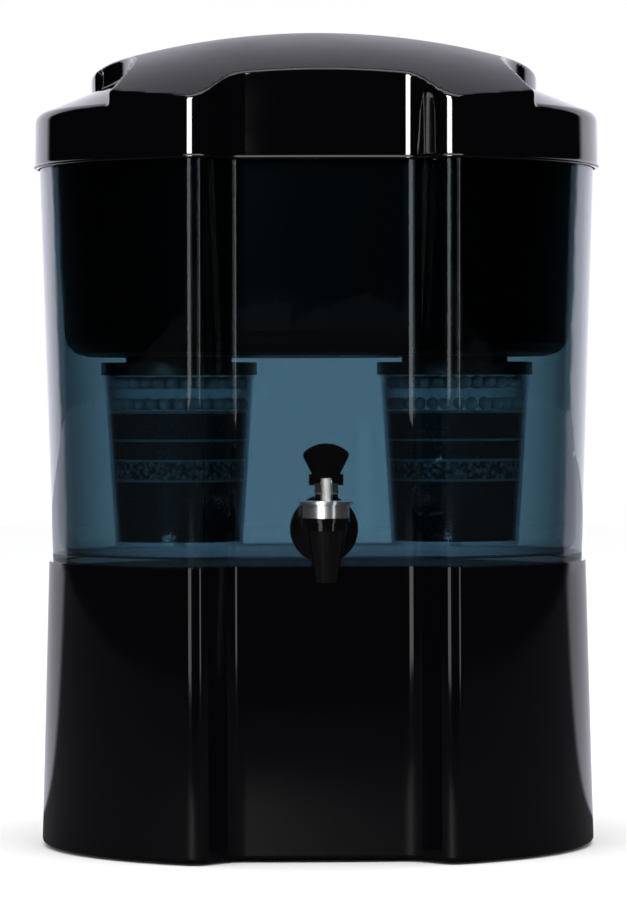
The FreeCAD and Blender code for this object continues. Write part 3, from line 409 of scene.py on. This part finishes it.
@dataclass(frozen=True)
class Grains:
    """Loose grains behind a clear wall: two colours of grain over painted shade in the gaps between them.
    """

    name: str
    light: Colour
    dark: Colour
    # painted shade: the colour laid in the hollows between the grains, where shade falls
    gap: Colour
    per_metre: float
    rough: float = 0.7
    depth: float = 0.0008

    def make(self) -> bpy.types.Material:
        """Build the material.

        Returns:
            The material.
        """
        material, board = fresh_material(self.name)
        near = board.cells(self.per_metre)
        shade = board.cells(self.per_metre, "Color")
        mix = board.axes(shade)[0]
        grain = board.blend(mix, self.dark, self.light)
        # Painted shade: the hollows between the grains take the dark gap colour.
        hollow = near.ramp(0.35, 0.75)
        colour = board.blend(hollow, grain, self.gap)
        normal = board.bump((1.0 - near) * self.depth, 1.0, 1.0)
        shader = board.add(
            "ShaderNodeBsdfPrincipled", None,
            {"Base Color": colour, "Roughness": self.rough, "Normal": normal},
        )
        board.finish(shader.outputs[0])
        return material


class Finish(Enum):
    """Every finish of the filter, by the record's material slot, or by the node that has its own."""

    black_gloss = Moulded("black_gloss", (0.0012, 0.0012, 0.0018), 0.045, 0.03)
    lid_black = Moulded("lid_black", (0.0010, 0.0010, 0.0014), 0.04, 0.03)
    lid_satin = Moulded("lid_satin", (0.006, 0.0056, 0.0082), 0.29, 0.05, wave=0.0)
    black_reservoir = Moulded("black_reservoir", (0.0006, 0.0006, 0.0007), 0.4, ior=1.2)
    tap_black = Moulded("tap_black", (0.0012, 0.0012, 0.0016), 0.09, 0.04, grain=0.000002)
    stem_white = Moulded("stem_white", (0.72, 0.72, 0.70), 0.32, grain=0.000004)
    silicone = Moulded("silicone", (0.62, 0.60, 0.56), 0.5)
    rubber = Moulded("rubber", (0.012, 0.012, 0.013), 0.75, 0.1, grain=0.00001)
    cap_dark = Moulded("cap_dark", (0.008, 0.010, 0.011), 0.3, 0.1)
    strainer_white = Moulded("strainer_white", (0.65, 0.66, 0.66), 0.4)
    separator_felt = Moulded("separator_felt", (0.55, 0.58, 0.58), 0.95, grain=0.00008, soft=0.3)
    smoke_tank = Clear("smoke_tank", (0.505, 0.628, 0.688), 0.02, 0.02, (0.002, 0.003, 0.004))
    tank_floor = Clear("tank_floor", (0.32, 0.44, 0.5), 0.03, 0.3, (0.001, 0.0015, 0.002), shine=0.25)
    cup_clear = Clear("cup_clear", (0.76, 0.82, 0.84), 0.05, 0.02, (0.2, 0.24, 0.25))
    tap_chrome = Metal("tap_chrome", (0.86, 0.87, 0.9), 0.2)
    spring_steel = Metal("spring_steel", (0.55, 0.55, 0.56), 0.25)
    ceramic_pebbles = Moulded("ceramic_pebbles", (0.80, 0.81, 0.78), 0.6, 0.2, 0.4, grain=0.00006,
                              grain_scale=700.0)
    # In each grain finish the last colour is painted shade for the gaps between the grains.
    carbon_grains = Grains(
        "carbon_grains", (0.02, 0.02, 0.021), (0.006, 0.006, 0.006), (0.0, 0.0, 0.0), 700.0
    )
    mineral_grains = Grains(
        "mineral_grains", (0.6, 0.63, 0.62), (0.16, 0.17, 0.17), (0.02, 0.02, 0.02), 420.0
    )
    fine_carbon = Grains(
        "fine_carbon", (0.02, 0.02, 0.021), (0.008, 0.008, 0.008), (0.0, 0.0, 0.0), 1100.0
    )


# Studio


@dataclass(frozen=True)
class Strip:
    """An upright lamp that shows as a bright line in the rounded corners."""

    azimuth: float
    wide: float
    low: float
    high: float
    power: float


@dataclass
class Studio:
    """Camera, surroundings, floor and lamps."""

    plan_y: float
    distance: float = 2.5
    eye: float = 0.233
    swing: float = math.radians(1.7)
    lens: float = 192.3
    rise_px: float = 56.0
    side_px: float = 3.5
    frame_px: float = 900.0
    roll: float = math.radians(0.15)
    backdrop_turn: float = 4.0
    reach: float = 2.2
    strips: List["Strip"] = field(default_factory=lambda: [
        Strip(-21.0, 0.90, 0.45, 1.7, 105.0),
        Strip(-30.0, 0.70, 0.08, 0.36, 1.2),
        Strip(34.0, 0.30, 0.08, 0.36, 0.5),
    ])

    def camera(self) -> None:
        """Set the camera at the photograph's angle."""
        data = bpy.data.cameras.new("camera")
        data.sensor_fit = "VERTICAL"
        data.sensor_height = 36.0
        data.lens = self.lens
        data.shift_x = -self.side_px / self.frame_px
        data.shift_y = -self.rise_px / self.frame_px
        data.clip_end = 50.0
        item = bpy.data.objects.new("camera", data)
        item.location = (
            -self.distance * math.sin(self.swing),
            self.plan_y - self.distance * math.cos(self.swing),
            self.eye,
        )
        item.rotation_euler = (math.radians(90.0), self.roll, -self.swing)
        bpy.context.collection.objects.link(item)
        bpy.context.scene.camera = item

    def sweep(self, x: Wire, y: Wire, half: float = 37.0) -> Wire:
        """How much of the white sweep lies in a direction from the filter.

        Args:
            x: the direction's share across.
            y: the direction's share away from the camera.
            half: how many degrees it reaches to each side.

        Returns:
            1 behind the filter and 0 elsewhere.
        """
        lean = math.radians(self.backdrop_turn)
        toward = (y * math.cos(lean) + x * math.sin(lean)) / (x * x + y * y) ** 0.5
        return toward.ramp(math.cos(math.radians(half + 6.0)), math.cos(math.radians(half)))

    def surroundings(self) -> None:
        """A white sweep behind, and a dark studio in front, as the glossy faces show it."""
        world = bpy.data.worlds.new("studio")
        world.use_nodes = True
        board = Board(world.node_tree)
        way = board.add("ShaderNodeTexCoord").outputs["Generated"]
        x, y, z = board.axes(way)
        height = 1.2 - z.ramp(0.10, 0.80) * 0.85
        glow = self.sweep(x, y) * height + 0.003
        path = board.add("ShaderNodeLightPath")
        white = board.add("ShaderNodeBackground", None, {"Color": (1.0, 1.0, 1.0), "Strength": 1.0})
        seen = board.add("ShaderNodeBackground", None, {"Color": (0.91, 0.89, 1.0), "Strength": glow})
        fill = board.add("ShaderNodeBackground", None, {"Color": (1.0, 1.0, 1.0), "Strength": 1.05})
        lit = board.add(
            "ShaderNodeMixShader", None,
            {0: path.outputs["Is Glossy Ray"], 1: fill.outputs[0], 2: seen.outputs[0]},
        )
        shown = board.add(
            "ShaderNodeMixShader", None,
            {0: path.outputs["Is Camera Ray"], 1: lit.outputs[0], 2: white.outputs[0]},
        )
        board.finish(shown.outputs[0], "ShaderNodeOutputWorld")
        bpy.context.scene.world = world

    def floor(self) -> None:
        """A plain pale floor under the filter, which shows glossy faces a painted reflection: dark in
        front, lilac behind.
        """
        mesh = bpy.data.meshes.new("floor")
        half = 6.0
        corners = [(-half, -half, 0.0), (half, -half, 0.0), (half, half, 0.0), (-half, half, 0.0)]
        mesh.from_pydata(corners, [], [(0, 1, 2, 3)])
        item = bpy.data.objects.new("floor", mesh)
        bpy.context.collection.objects.link(item)
        material, board = fresh_material("floor_pale")
        path = board.add("ShaderNodeLightPath")
        x, y, _ = board.axes(board.place())
        # Painted reflection: glossy faces see the floor dark in front and lilac where the sweep stands
        # behind.
        shown = board.blend(self.sweep(x, y, 42.0), (0.04, 0.04, 0.043), (0.52, 0.51, 0.58))
        pale_or_painted_reflection = board.blend(Wire(board, path.outputs["Is Glossy Ray"]), (0.96, 0.96, 0.96), shown)
        shader = board.add(
            "ShaderNodeBsdfPrincipled", None,
            {"Base Color": pale_or_painted_reflection, "Roughness": 0.8, "Specular IOR Level": 0.1},
        )
        board.finish(shader.outputs[0])
        mesh.materials.append(material)

    def lamp(self, name: str, spot: Point, aim: Point, size: Tuple[float, float], power: float,
             only_shine: bool = False) -> None:
        """Hang one soft lamp.

        Args:
            name: the lamp's name.
            spot: where it hangs.
            aim: what it faces.
            size: its width and height in metres.
            power: its strength in watts.
            only_shine: True for a lamp that shows in glossy faces and lights nothing else.
        """
        data = bpy.data.lights.new(name, "AREA")
        data.shape = "RECTANGLE"
        data.size, data.size_y = size
        data.energy = power
        item = bpy.data.objects.new(name, data)
        item.location = spot
        way = Vector(aim) - Vector(spot)
        item.rotation_euler = way.to_track_quat("-Z", "Y").to_euler()
        item.visible_diffuse = not only_shine
        item.visible_transmission = False
        bpy.context.collection.objects.link(item)

    def lamps(self) -> None:
        """The lamps: a broad one above, and upright strips at both sides of the camera."""
        self.lamp("key_above", (0.0, -0.5, 2.2), (0.0, 0.0, 0.2), (2.0, 1.6), 26.0)
        for number, strip in enumerate(self.strips, 1):
            turn = math.radians(strip.azimuth)
            middle = (strip.low + strip.high) / 2
            spot = (self.reach * math.sin(turn), self.plan_y - self.reach * math.cos(turn), middle)
            size = (strip.wide, strip.high - strip.low)
            self.lamp("strip_%d" % number, spot, (0.0, self.plan_y, middle), size, strip.power, True)

    def build(self) -> None:
        """Set the whole studio up."""
        self.camera()
        self.surroundings()
        self.floor()
        self.lamps()
        bpy.context.scene.view_settings.view_transform = "Standard"
        LOG.info("studio: camera, surroundings, floor and %d strips", len(self.strips))


# Forms


def rounded_max(first: np.ndarray, second: np.ndarray, radius: Any) -> np.ndarray:
    """Cross two solids given by distance, and round the edge between them.

    Args:
        first: distances outside the first solid.
        second: distances outside the second solid.
        radius: radius of the edge.

    Returns:
        Distances outside what the solids share.
    """
    corner = np.hypot(np.maximum(first + radius, 0.0), np.maximum(second + radius, 0.0))
    return np.minimum(-radius, np.maximum(first, second)) + corner


def smooth_step(value: np.ndarray, low: float, high: float) -> np.ndarray:
    """A smooth step from 0 at low to 1 at high."""
    part = np.clip((value - low) / (high - low), 0.0, 1.0)
    return part * part * (3.0 - 2.0 * part)


@dataclass
class PlanOutline:
    """The plan that all the mouldings share: a round with two lobes beside a bowed front panel."""

    radius: float
    inset: float
    lobe_x: float = 64.5
    panel_x: float = 40.0
    setback: float = 32.0
    lobe_bend: float = 9.0
    least_lobe_bend: float = 1.5
    panel_bend: float = 12.0
    least_flank: float = 1.0
    panel_bow: float = 577.0

    def __post_init__(self) -> None:
        """Work out the arcs and the tangent between them, for the right half."""
        self.lobe_round = max(self.lobe_bend - self.inset, self.least_lobe_bend)
        room = self.lobe_x - self.panel_x - self.lobe_round - self.least_flank
        self.panel_round = min(self.panel_bend + self.inset, room)
        self.bow = self.panel_bow - self.inset
        reach = self.radius - self.lobe_round
        self.crest = np.array([self.lobe_x, -math.sqrt(reach ** 2 - self.lobe_x ** 2)])
        self.bow_centre = np.array([0.0, self.bow - (self.radius - self.setback)])
        span = self.bow + self.panel_round
        drop = math.sqrt(span ** 2 - self.panel_x ** 2)
        self.corner = np.array([self.panel_x, self.bow_centre[1] - drop])
        across = self.crest - self.corner
        lean = math.acos((self.panel_round + self.lobe_round) / math.hypot(*across))
        way = math.atan2(across[1], across[0]) + lean
        self.normal = np.array([math.cos(way), math.sin(way)])
        self.start = self.crest - self.normal * self.lobe_round
        run = self.corner + self.normal * self.panel_round - self.start
        self.length = math.hypot(*run)
        self.along = run / self.length

    def distance(self, x: np.ndarray, y: np.ndarray) -> np.ndarray:
        """How far points lie outside the outline.

        Args:
            x: across, from the middle.
            y: along, from the axis, with the front negative.

        Returns:
            Distances, negative inside.
        """
        side = np.abs(x)
        round_wall = np.hypot(side, y) - self.radius
        lobe = np.hypot(side - self.crest[0], y - self.crest[1]) - self.lobe_round
        dx, dy = side - self.start[0], y - self.start[1]
        flank = -(dx * self.normal[0] + dy * self.normal[1])
        step = dx * self.along[0] + dy * self.along[1]
        hollow = self.panel_round - np.hypot(side - self.corner[0], y - self.corner[1])
        panel = np.hypot(side, y - self.bow_centre[1]) - self.bow
        past_lobe = self.crest[0] * y - self.crest[1] * side > 0.0
        arm = self.corner - self.bow_centre
        past_panel = arm[0] * (y - self.bow_centre[1]) - arm[1] * side > 0.0
        front = np.where(step < 0.0, lobe, np.where(step < self.length, flank, hollow))
        front = np.where(past_panel, front, panel)
        return np.where(past_lobe, round_wall, front)


@dataclass
class LidForm:
    """The lid as distances: a lobed prism under a dome, less two finger scoops and a vent slot."""

    bottom: float
    top: float
    radius: float
    wall: float = 2.4
    ledge: float = 4.0
    ledge_level: float = 360.0
    taper: float = 1.0 / 75.0
    across: float = 382.0
    along: float = 268.0
    bite: float = 97.5
    neck: Tuple[float, float] = (95.0, -50.0)
    waist: float = 117.5
    rear: float = 78.0
    floor_inner: float = 388.5
    floor_slope: float = 12.0 / 29.5
    bead: float = 0.9
    vent: Point = (-114.5, 12.0, 396.5)
    vent_size: Tuple[float, float, float] = (14.0, 13.0, 9.5)
    vent_turn: float = math.radians(19.0)
    vent_corner: float = 2.0
    vent_end: float = 0.1
    inset: float = -3.0
    scoop_corner: float = 4.0
    scoop_fillet: float = 1.6
    bead_level: float = 0.9
    bead_wide: float = 0.8
    lower_edge: float = 0.8
    upper_edge: float = 1.3
    mouth_edge: float = 3.2
    mouth_edge_loss: float = 2.0
    mouth_change: Tuple[float, float] = (386.0, 395.0)

    def __post_init__(self) -> None:
        """Work out the outline and the centres of the scoop's two bends."""
        self.outline = PlanOutline(self.radius, self.inset)
        self.first = np.array([self.neck[0] + self.bite, self.neck[1]])
        gap = self.neck[0] - self.waist + 2.0 * self.bite
        drift = math.sqrt(4.0 * self.bite ** 2 - gap ** 2)
        self.second = np.array([self.waist - self.bite, self.neck[1] + drift])

    def scoop(self, x: np.ndarray, y: np.ndarray, z: np.ndarray, grow: float) -> np.ndarray:
        """How far points lie outside the two finger scoops.

        Args:
            x: across.
            y: along.
            z: up.
            grow: how much larger the scoops are taken.

        Returns:
            Distances, negative in a scoop.
        """
        side = np.abs(x)
        hollow = np.hypot(side - self.first[0], y - self.first[1]) - self.bite
        swell = self.bite - np.hypot(side - self.second[0], y - self.second[1])
        arm = self.second - self.first
        before = arm[0] * (y - self.first[1]) - arm[1] * (side - self.first[0]) > 0.0
        bend = np.where(before, hollow, swell)
        plan = np.where(y > self.second[1], self.waist - side, bend)
        plan = rounded_max(plan, y - self.rear, self.scoop_corner)
        level = self.floor_inner - (np.hypot(x, y) - self.waist) * self.floor_slope
        floor = (level - z) / math.hypot(1.0, self.floor_slope)
        return rounded_max(plan - grow, floor - grow, self.scoop_fillet)

    def dome(self, x: np.ndarray, y: np.ndarray, z: np.ndarray) -> np.ndarray:
        """How far points lie above the dome."""
        rise = np.sqrt(self.across ** 2 - x ** 2)
        radius = self.along - self.across + rise
        return (np.hypot(y, z - self.top + self.along) - radius) * rise / self.across

    def slot(self, x: np.ndarray, y: np.ndarray, z: np.ndarray) -> np.ndarray:
        """How far points lie outside the vent slot."""
        dx, dy, dz = x - self.vent[0], y - self.vent[1], z - self.vent[2]
        cos, sin = math.cos(self.vent_turn), math.sin(self.vent_turn)
        local = [dx * cos + dy * sin, dy * cos - dx * sin, dz]
        walls = [np.abs(part) - size / 2.0 for part, size in zip(local, self.vent_size)]
        section = rounded_max(walls[1], walls[2], self.vent_corner)
        return rounded_max(section, walls[0], self.vent_end)

    def outside(self, x: np.ndarray, y: np.ndarray, z: np.ndarray) -> np.ndarray:
        """How far points lie outside the lid's outer skin."""
        bead = self.bead * np.exp(-(((z - self.bottom - self.bead_level) / self.bead_wide) ** 2))
        lean = (z - self.bottom) * self.taper
        prism = self.outline.distance(x, y) + lean + self.bead - bead
        prism = rounded_max(prism, self.bottom - z, self.lower_edge)
        body = rounded_max(prism, self.dome(x, y, z), self.upper_edge)
        round_edge = self.mouth_edge - self.mouth_edge_loss * smooth_step(z, *self.mouth_change)
        whole = rounded_max(body, -self.scoop(x, y, z, 0.0), round_edge)
        return np.maximum(whole, -self.slot(x, y, z))

    def hollow(self, x: np.ndarray, y: np.ndarray, z: np.ndarray) -> np.ndarray:
        """How far points lie outside the lid's inner space."""
        lean = (z - self.bottom) * self.taper
        ledge = np.where(z > self.ledge_level, self.ledge, 0.0)
        prism = self.outline.distance(x, y) + lean + self.wall + ledge
        body = np.maximum(prism, self.dome(x, y, z) + self.wall)
        return np.maximum(body, -self.scoop(x, y, z, self.wall))


def slope_of(field_of: Any, points: np.ndarray, step: float = 0.05) -> np.ndarray:
    """The outward normals of a field of distances.

    Args:
        field_of: gives the distances of points from x, y and z.
        points: the points, one a row.
        step: how far apart the differences are taken.

    Returns:
        Unit normals, one a row.
    """
    normals = np.empty_like(points)
    for axis in range(3):
        shift = np.zeros(3)
        shift[axis] = step
        high, low = (points + shift).T, (points - shift).T
        normals[:, axis] = field_of(*high) - field_of(*low)
    return normals / np.linalg.norm(normals, axis=1)[:, None]


def new_piece(
    name: str,
    points: Sequence[Sequence[float]],
    faces: Sequence[Sequence[int]],
    body: str,
    slot: str,
    normals: Optional[np.ndarray] = None,
) -> bpy.types.Object:
    """Make a smooth mesh piece that rides on a body, and log the slot whose finish it is to wear.

    Args:
        name: the piece's name.
        points: its points in metres.
        faces: its faces, as lists of point numbers.
        body: the body it rides on.
        slot: the record's material slot.
        normals: one normal a point, if they are known better than the faces give them.

    Returns:
        The piece.
    """
    mesh = bpy.data.meshes.new(name)
    mesh.from_pydata([tuple(point) for point in points], [], [tuple(face) for face in faces])
    mesh.polygons.foreach_set("use_smooth", [True] * len(mesh.polygons))
    if normals is not None:
        mesh.normals_split_custom_set_from_vertices([tuple(normal) for normal in normals])
    item = bpy.data.objects.new(name, mesh)
    bpy.context.collection.objects.link(item)
    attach(item, body)
    LOG.info("piece %s on %s: %d points, finish %s", name, body, len(mesh.vertices), slot)
    return item


@dataclass
class Lid:
    """The lid's skin, with its rounded edges, made by rays from a point under its middle."""

    plan_y: float
    columns: int = 440
    rows: int = 128
    inner_rows: int = 40
    eye_level: float = 330.0
    flat_start: float = 170.0
    ray_start: float = 190.0
    flat_steps: int = 90
    ray_steps: int = 140
    flat_stride: float = 0.9
    ray_stride: float = 0.8
    steepest: float = math.radians(89.6)
    crowding: float = 1.25
    outer_lift: float = 0.3
    inner_lift: float = 0.01
    satin_within: float = 0.05

    def __post_init__(self) -> None:
        """Take the lid's sizes from the frame."""
        low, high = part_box("lid_skirt")
        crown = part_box("lid_dome")[1]
        self.form = LidForm(low[2] / MM, crown[2] / MM, (high[0] - low[0]) / 2 / MM)

    def rays(self, rows: int, field_of: Any, lift: float) -> Tuple[np.ndarray, np.ndarray]:
        """March inward along rays until a field of distances turns negative.

        Args:
            rows: how many levels of rays there are.
            field_of: gives distances from x, y and z.
            lift: height of the lowest hit above the lid's lower edge.

        Returns:
            The points and their normals, level by level, the highest being the crown.
        """
        turn = np.linspace(0.0, 2.0 * math.pi, self.columns, endpoint=False)
        way = np.stack([np.sin(turn), -np.cos(turn)], axis=1)
        base = self.form.bottom + lift
        reach = np.full(self.columns, self.flat_start)
        for _ in range(self.flat_steps):
            gap = field_of(reach * way[:, 0], reach * way[:, 1], np.full(self.columns, base))
            reach = reach - np.maximum(gap, 0.0) * self.flat_stride
        lowest = np.arctan2(base - self.eye_level, reach)
        part = np.linspace(0.0, 1.0, rows)[:, None]
        rise = lowest[None, :] + (self.steepest - lowest[None, :]) * part ** self.crowding
        flat, up = np.cos(rise), np.sin(rise)
        heading = np.stack([flat * way[:, 0], flat * way[:, 1], up], axis=2).reshape(-1, 3)
        length = np.full(len(heading), self.ray_start)
        eye = np.array([0.0, 0.0, self.eye_level])
        for _ in range(self.ray_steps):
            gap = field_of(*(eye + heading * length[:, None]).T)
            length = length - np.maximum(gap, 0.0) * self.ray_stride
        points = eye + heading * length[:, None]
        return points, slope_of(field_of, points)

    def build(self, dress: "FrameDress") -> bpy.types.Object:
        """Make the lid's closed shell.

        Args:
            dress: holds the materials.

        Returns:
            The lid's piece.
        """
        outer, outer_normals = self.rays(self.rows, self.form.outside, self.outer_lift)
        inner, inner_normals = self.rays(self.inner_rows, self.form.hollow, self.inner_lift)
        count = self.columns
        faces: List[Tuple[int, ...]] = []
        for start, rows, flip in ((0, self.rows, False), (len(outer), self.inner_rows, True)):
            for row in range(rows - 1):
                for column in range(count):
                    after = (column + 1) % count
                    first, second = start + row * count, start + (row + 1) * count
                    face = (first + column, first + after, second + after, second + column)
                    faces.append(face[::-1] if flip else face)
            crown = [start + (rows - 1) * count + column for column in range(count)]
            faces.append(tuple(crown[::-1] if flip else crown))
        for column in range(count):
            after = (column + 1) % count
            faces.append((len(outer) + column, len(outer) + after, after, column))
        points = np.concatenate([outer, inner])
        normals = np.concatenate([outer_normals, -inner_normals])
        points[:, 1] += self.plan_y / MM
        lid = new_piece("lid", points * MM, faces, "lid", "lid_black", normals)
        self.paint(lid, outer, dress)
        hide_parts("lid_dome", "lid_skirt")
        return lid

    def paint(self, lid: bpy.types.Object, outer: np.ndarray, dress: "FrameDress") -> None:
        """Give the dome its satin and the rest its polish.

        Args:
            lid: the lid's piece.
            outer: the points of the outer skin.
            dress: holds the materials.
        """
        lid.data.materials.append(dress.material("lid_black"))
        lid.data.materials.append(dress.material("lid_satin"))
        on_dome = np.abs(self.form.dome(*outer.T)) < self.satin_within
        for face in lid.data.polygons:
            if all(number < len(outer) and on_dome[number] for number in face.vertices):
                face.material_index = 1


@dataclass
class Pebbles:
    """Ceramic pebbles packed in rings against a cup's wall, where the frame's plain bed is hidden."""

    side: str
    seed: int
    size: float = 3.6
    level_pitch: float = 1.62
    ring_pitch: float = 1.9
    along_pitch: float = 1.93
    ring_depth: float = 2.2
    wall_gap: float = 0.9
    turn_chance: float = 0.02
    size_chance: Tuple[float, float] = (0.86, 1.0)
    squash_chance: Tuple[float, float] = (0.86, 1.04)

    def build(self, finish: bpy.types.Material) -> bpy.types.Object:
        """Pile the pebbles in rings.

        Args:
            finish: the pebbles' material.

        Returns:
            The piece.
        """
        low, high = (Vector(corner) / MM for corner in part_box("pebble_bed_%s" % self.side))
        middle = (low + high) / 2
        radius = (high.x - low.x) / 2
        dice = np.random.default_rng(self.seed)
        mesh = bmesh.new()
        rise = high.z - low.z - 2 * self.size
        levels = int(rise / (self.level_pitch * self.size)) + 1
        for level in range(levels):
            z = low.z + self.size + level * rise / max(levels - 1, 1)
            top = level == levels - 1
            ring = radius - self.size - self.wall_gap
            while ring > (self.size if top else radius - self.ring_depth * self.size):
                self.lay_ring(mesh, dice, (middle.x, middle.y, z), ring, level)
                ring -= self.ring_pitch * self.size
        made = bpy.data.meshes.new("pebbles")
        mesh.to_mesh(made)
        mesh.free()
        points = [vertex.co * MM for vertex in made.vertices]
        faces = [tuple(face.vertices) for face in made.polygons]
        piece = new_piece("pebbles_%s" % self.side, points, faces, "reservoir", "ceramic_pebbles")
        piece.data.materials.append(finish)
        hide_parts("pebble_bed_%s" % self.side)
        return piece

    def lay_ring(self, mesh: bmesh.types.BMesh, dice: Any, centre: Point, ring: float, level: int) -> None:
        """Lay one ring of pebbles.

        Args:
            mesh: the mesh they are added to.
            dice: the seeded source of chance.
            centre: the ring's centre.
            ring: the ring's radius.
            level: the number of the layer, which sets the stagger.
        """
        count = max(1, int(2 * math.pi * ring / (self.along_pitch * self.size)))
        for number in range(count):
            turn = 2 * math.pi * (number + 0.5 * (level % 2)) / count
            turn += dice.uniform(-self.turn_chance, self.turn_chance)
            size = self.size * dice.uniform(*self.size_chance)
            across, along = ring * math.sin(turn), ring * math.cos(turn)
            spot = Vector((centre[0] + across, centre[1] - along, centre[2]))
            made = bmesh.ops.create_icosphere(mesh, subdivisions=2, radius=size)
            squash = Vector(dice.uniform(*self.squash_chance, 3))
            for vertex in made["verts"]:
                vertex.co = spot + vertex.co * squash


# The frame's own solids


@dataclass
class FrameDress:
    """Gives each solid of the frame the finish of its node or slot."""

    made: Dict[str, bpy.types.Material] = field(default_factory=dict)

    def material(self, slot: str) -> bpy.types.Material:
        """The material of a finish, made once.

        Args:
            slot: the finish's name.

        Returns:
            The material.
        """
        if slot not in self.made:
            self.made[slot] = Finish[slot].value.make()
        return self.made[slot]

    def build(self) -> None:
        """Dress every solid."""
        for part in frame["record"]["subparts"]:
            item = frame["nodes"][part["node"]]
            item.data.materials.clear()
            own = part["node"] if part["node"] in Finish.__members__ else part["material_slot"]
            item.data.materials.append(self.material(own))
            LOG.info("solid %s: %s", part["node"], part["material_slot"])


def main() -> None:
    """Build the studio and dress the filter."""
    logging.basicConfig(level=logging.INFO, format="%(message)s")
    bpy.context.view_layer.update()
    low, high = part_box("lid_skirt")
    plan_y = high[1] - (high[0] - low[0]) / 2
    Studio(plan_y).build()
    dress = FrameDress()
    dress.build()
    Lid(plan_y).build(dress)
    for side, seed in (("right", 10), ("left", 9)):
        Pebbles(side, seed).build(dress.material("ceramic_pebbles"))


if __name__ == "__main__":
    main()
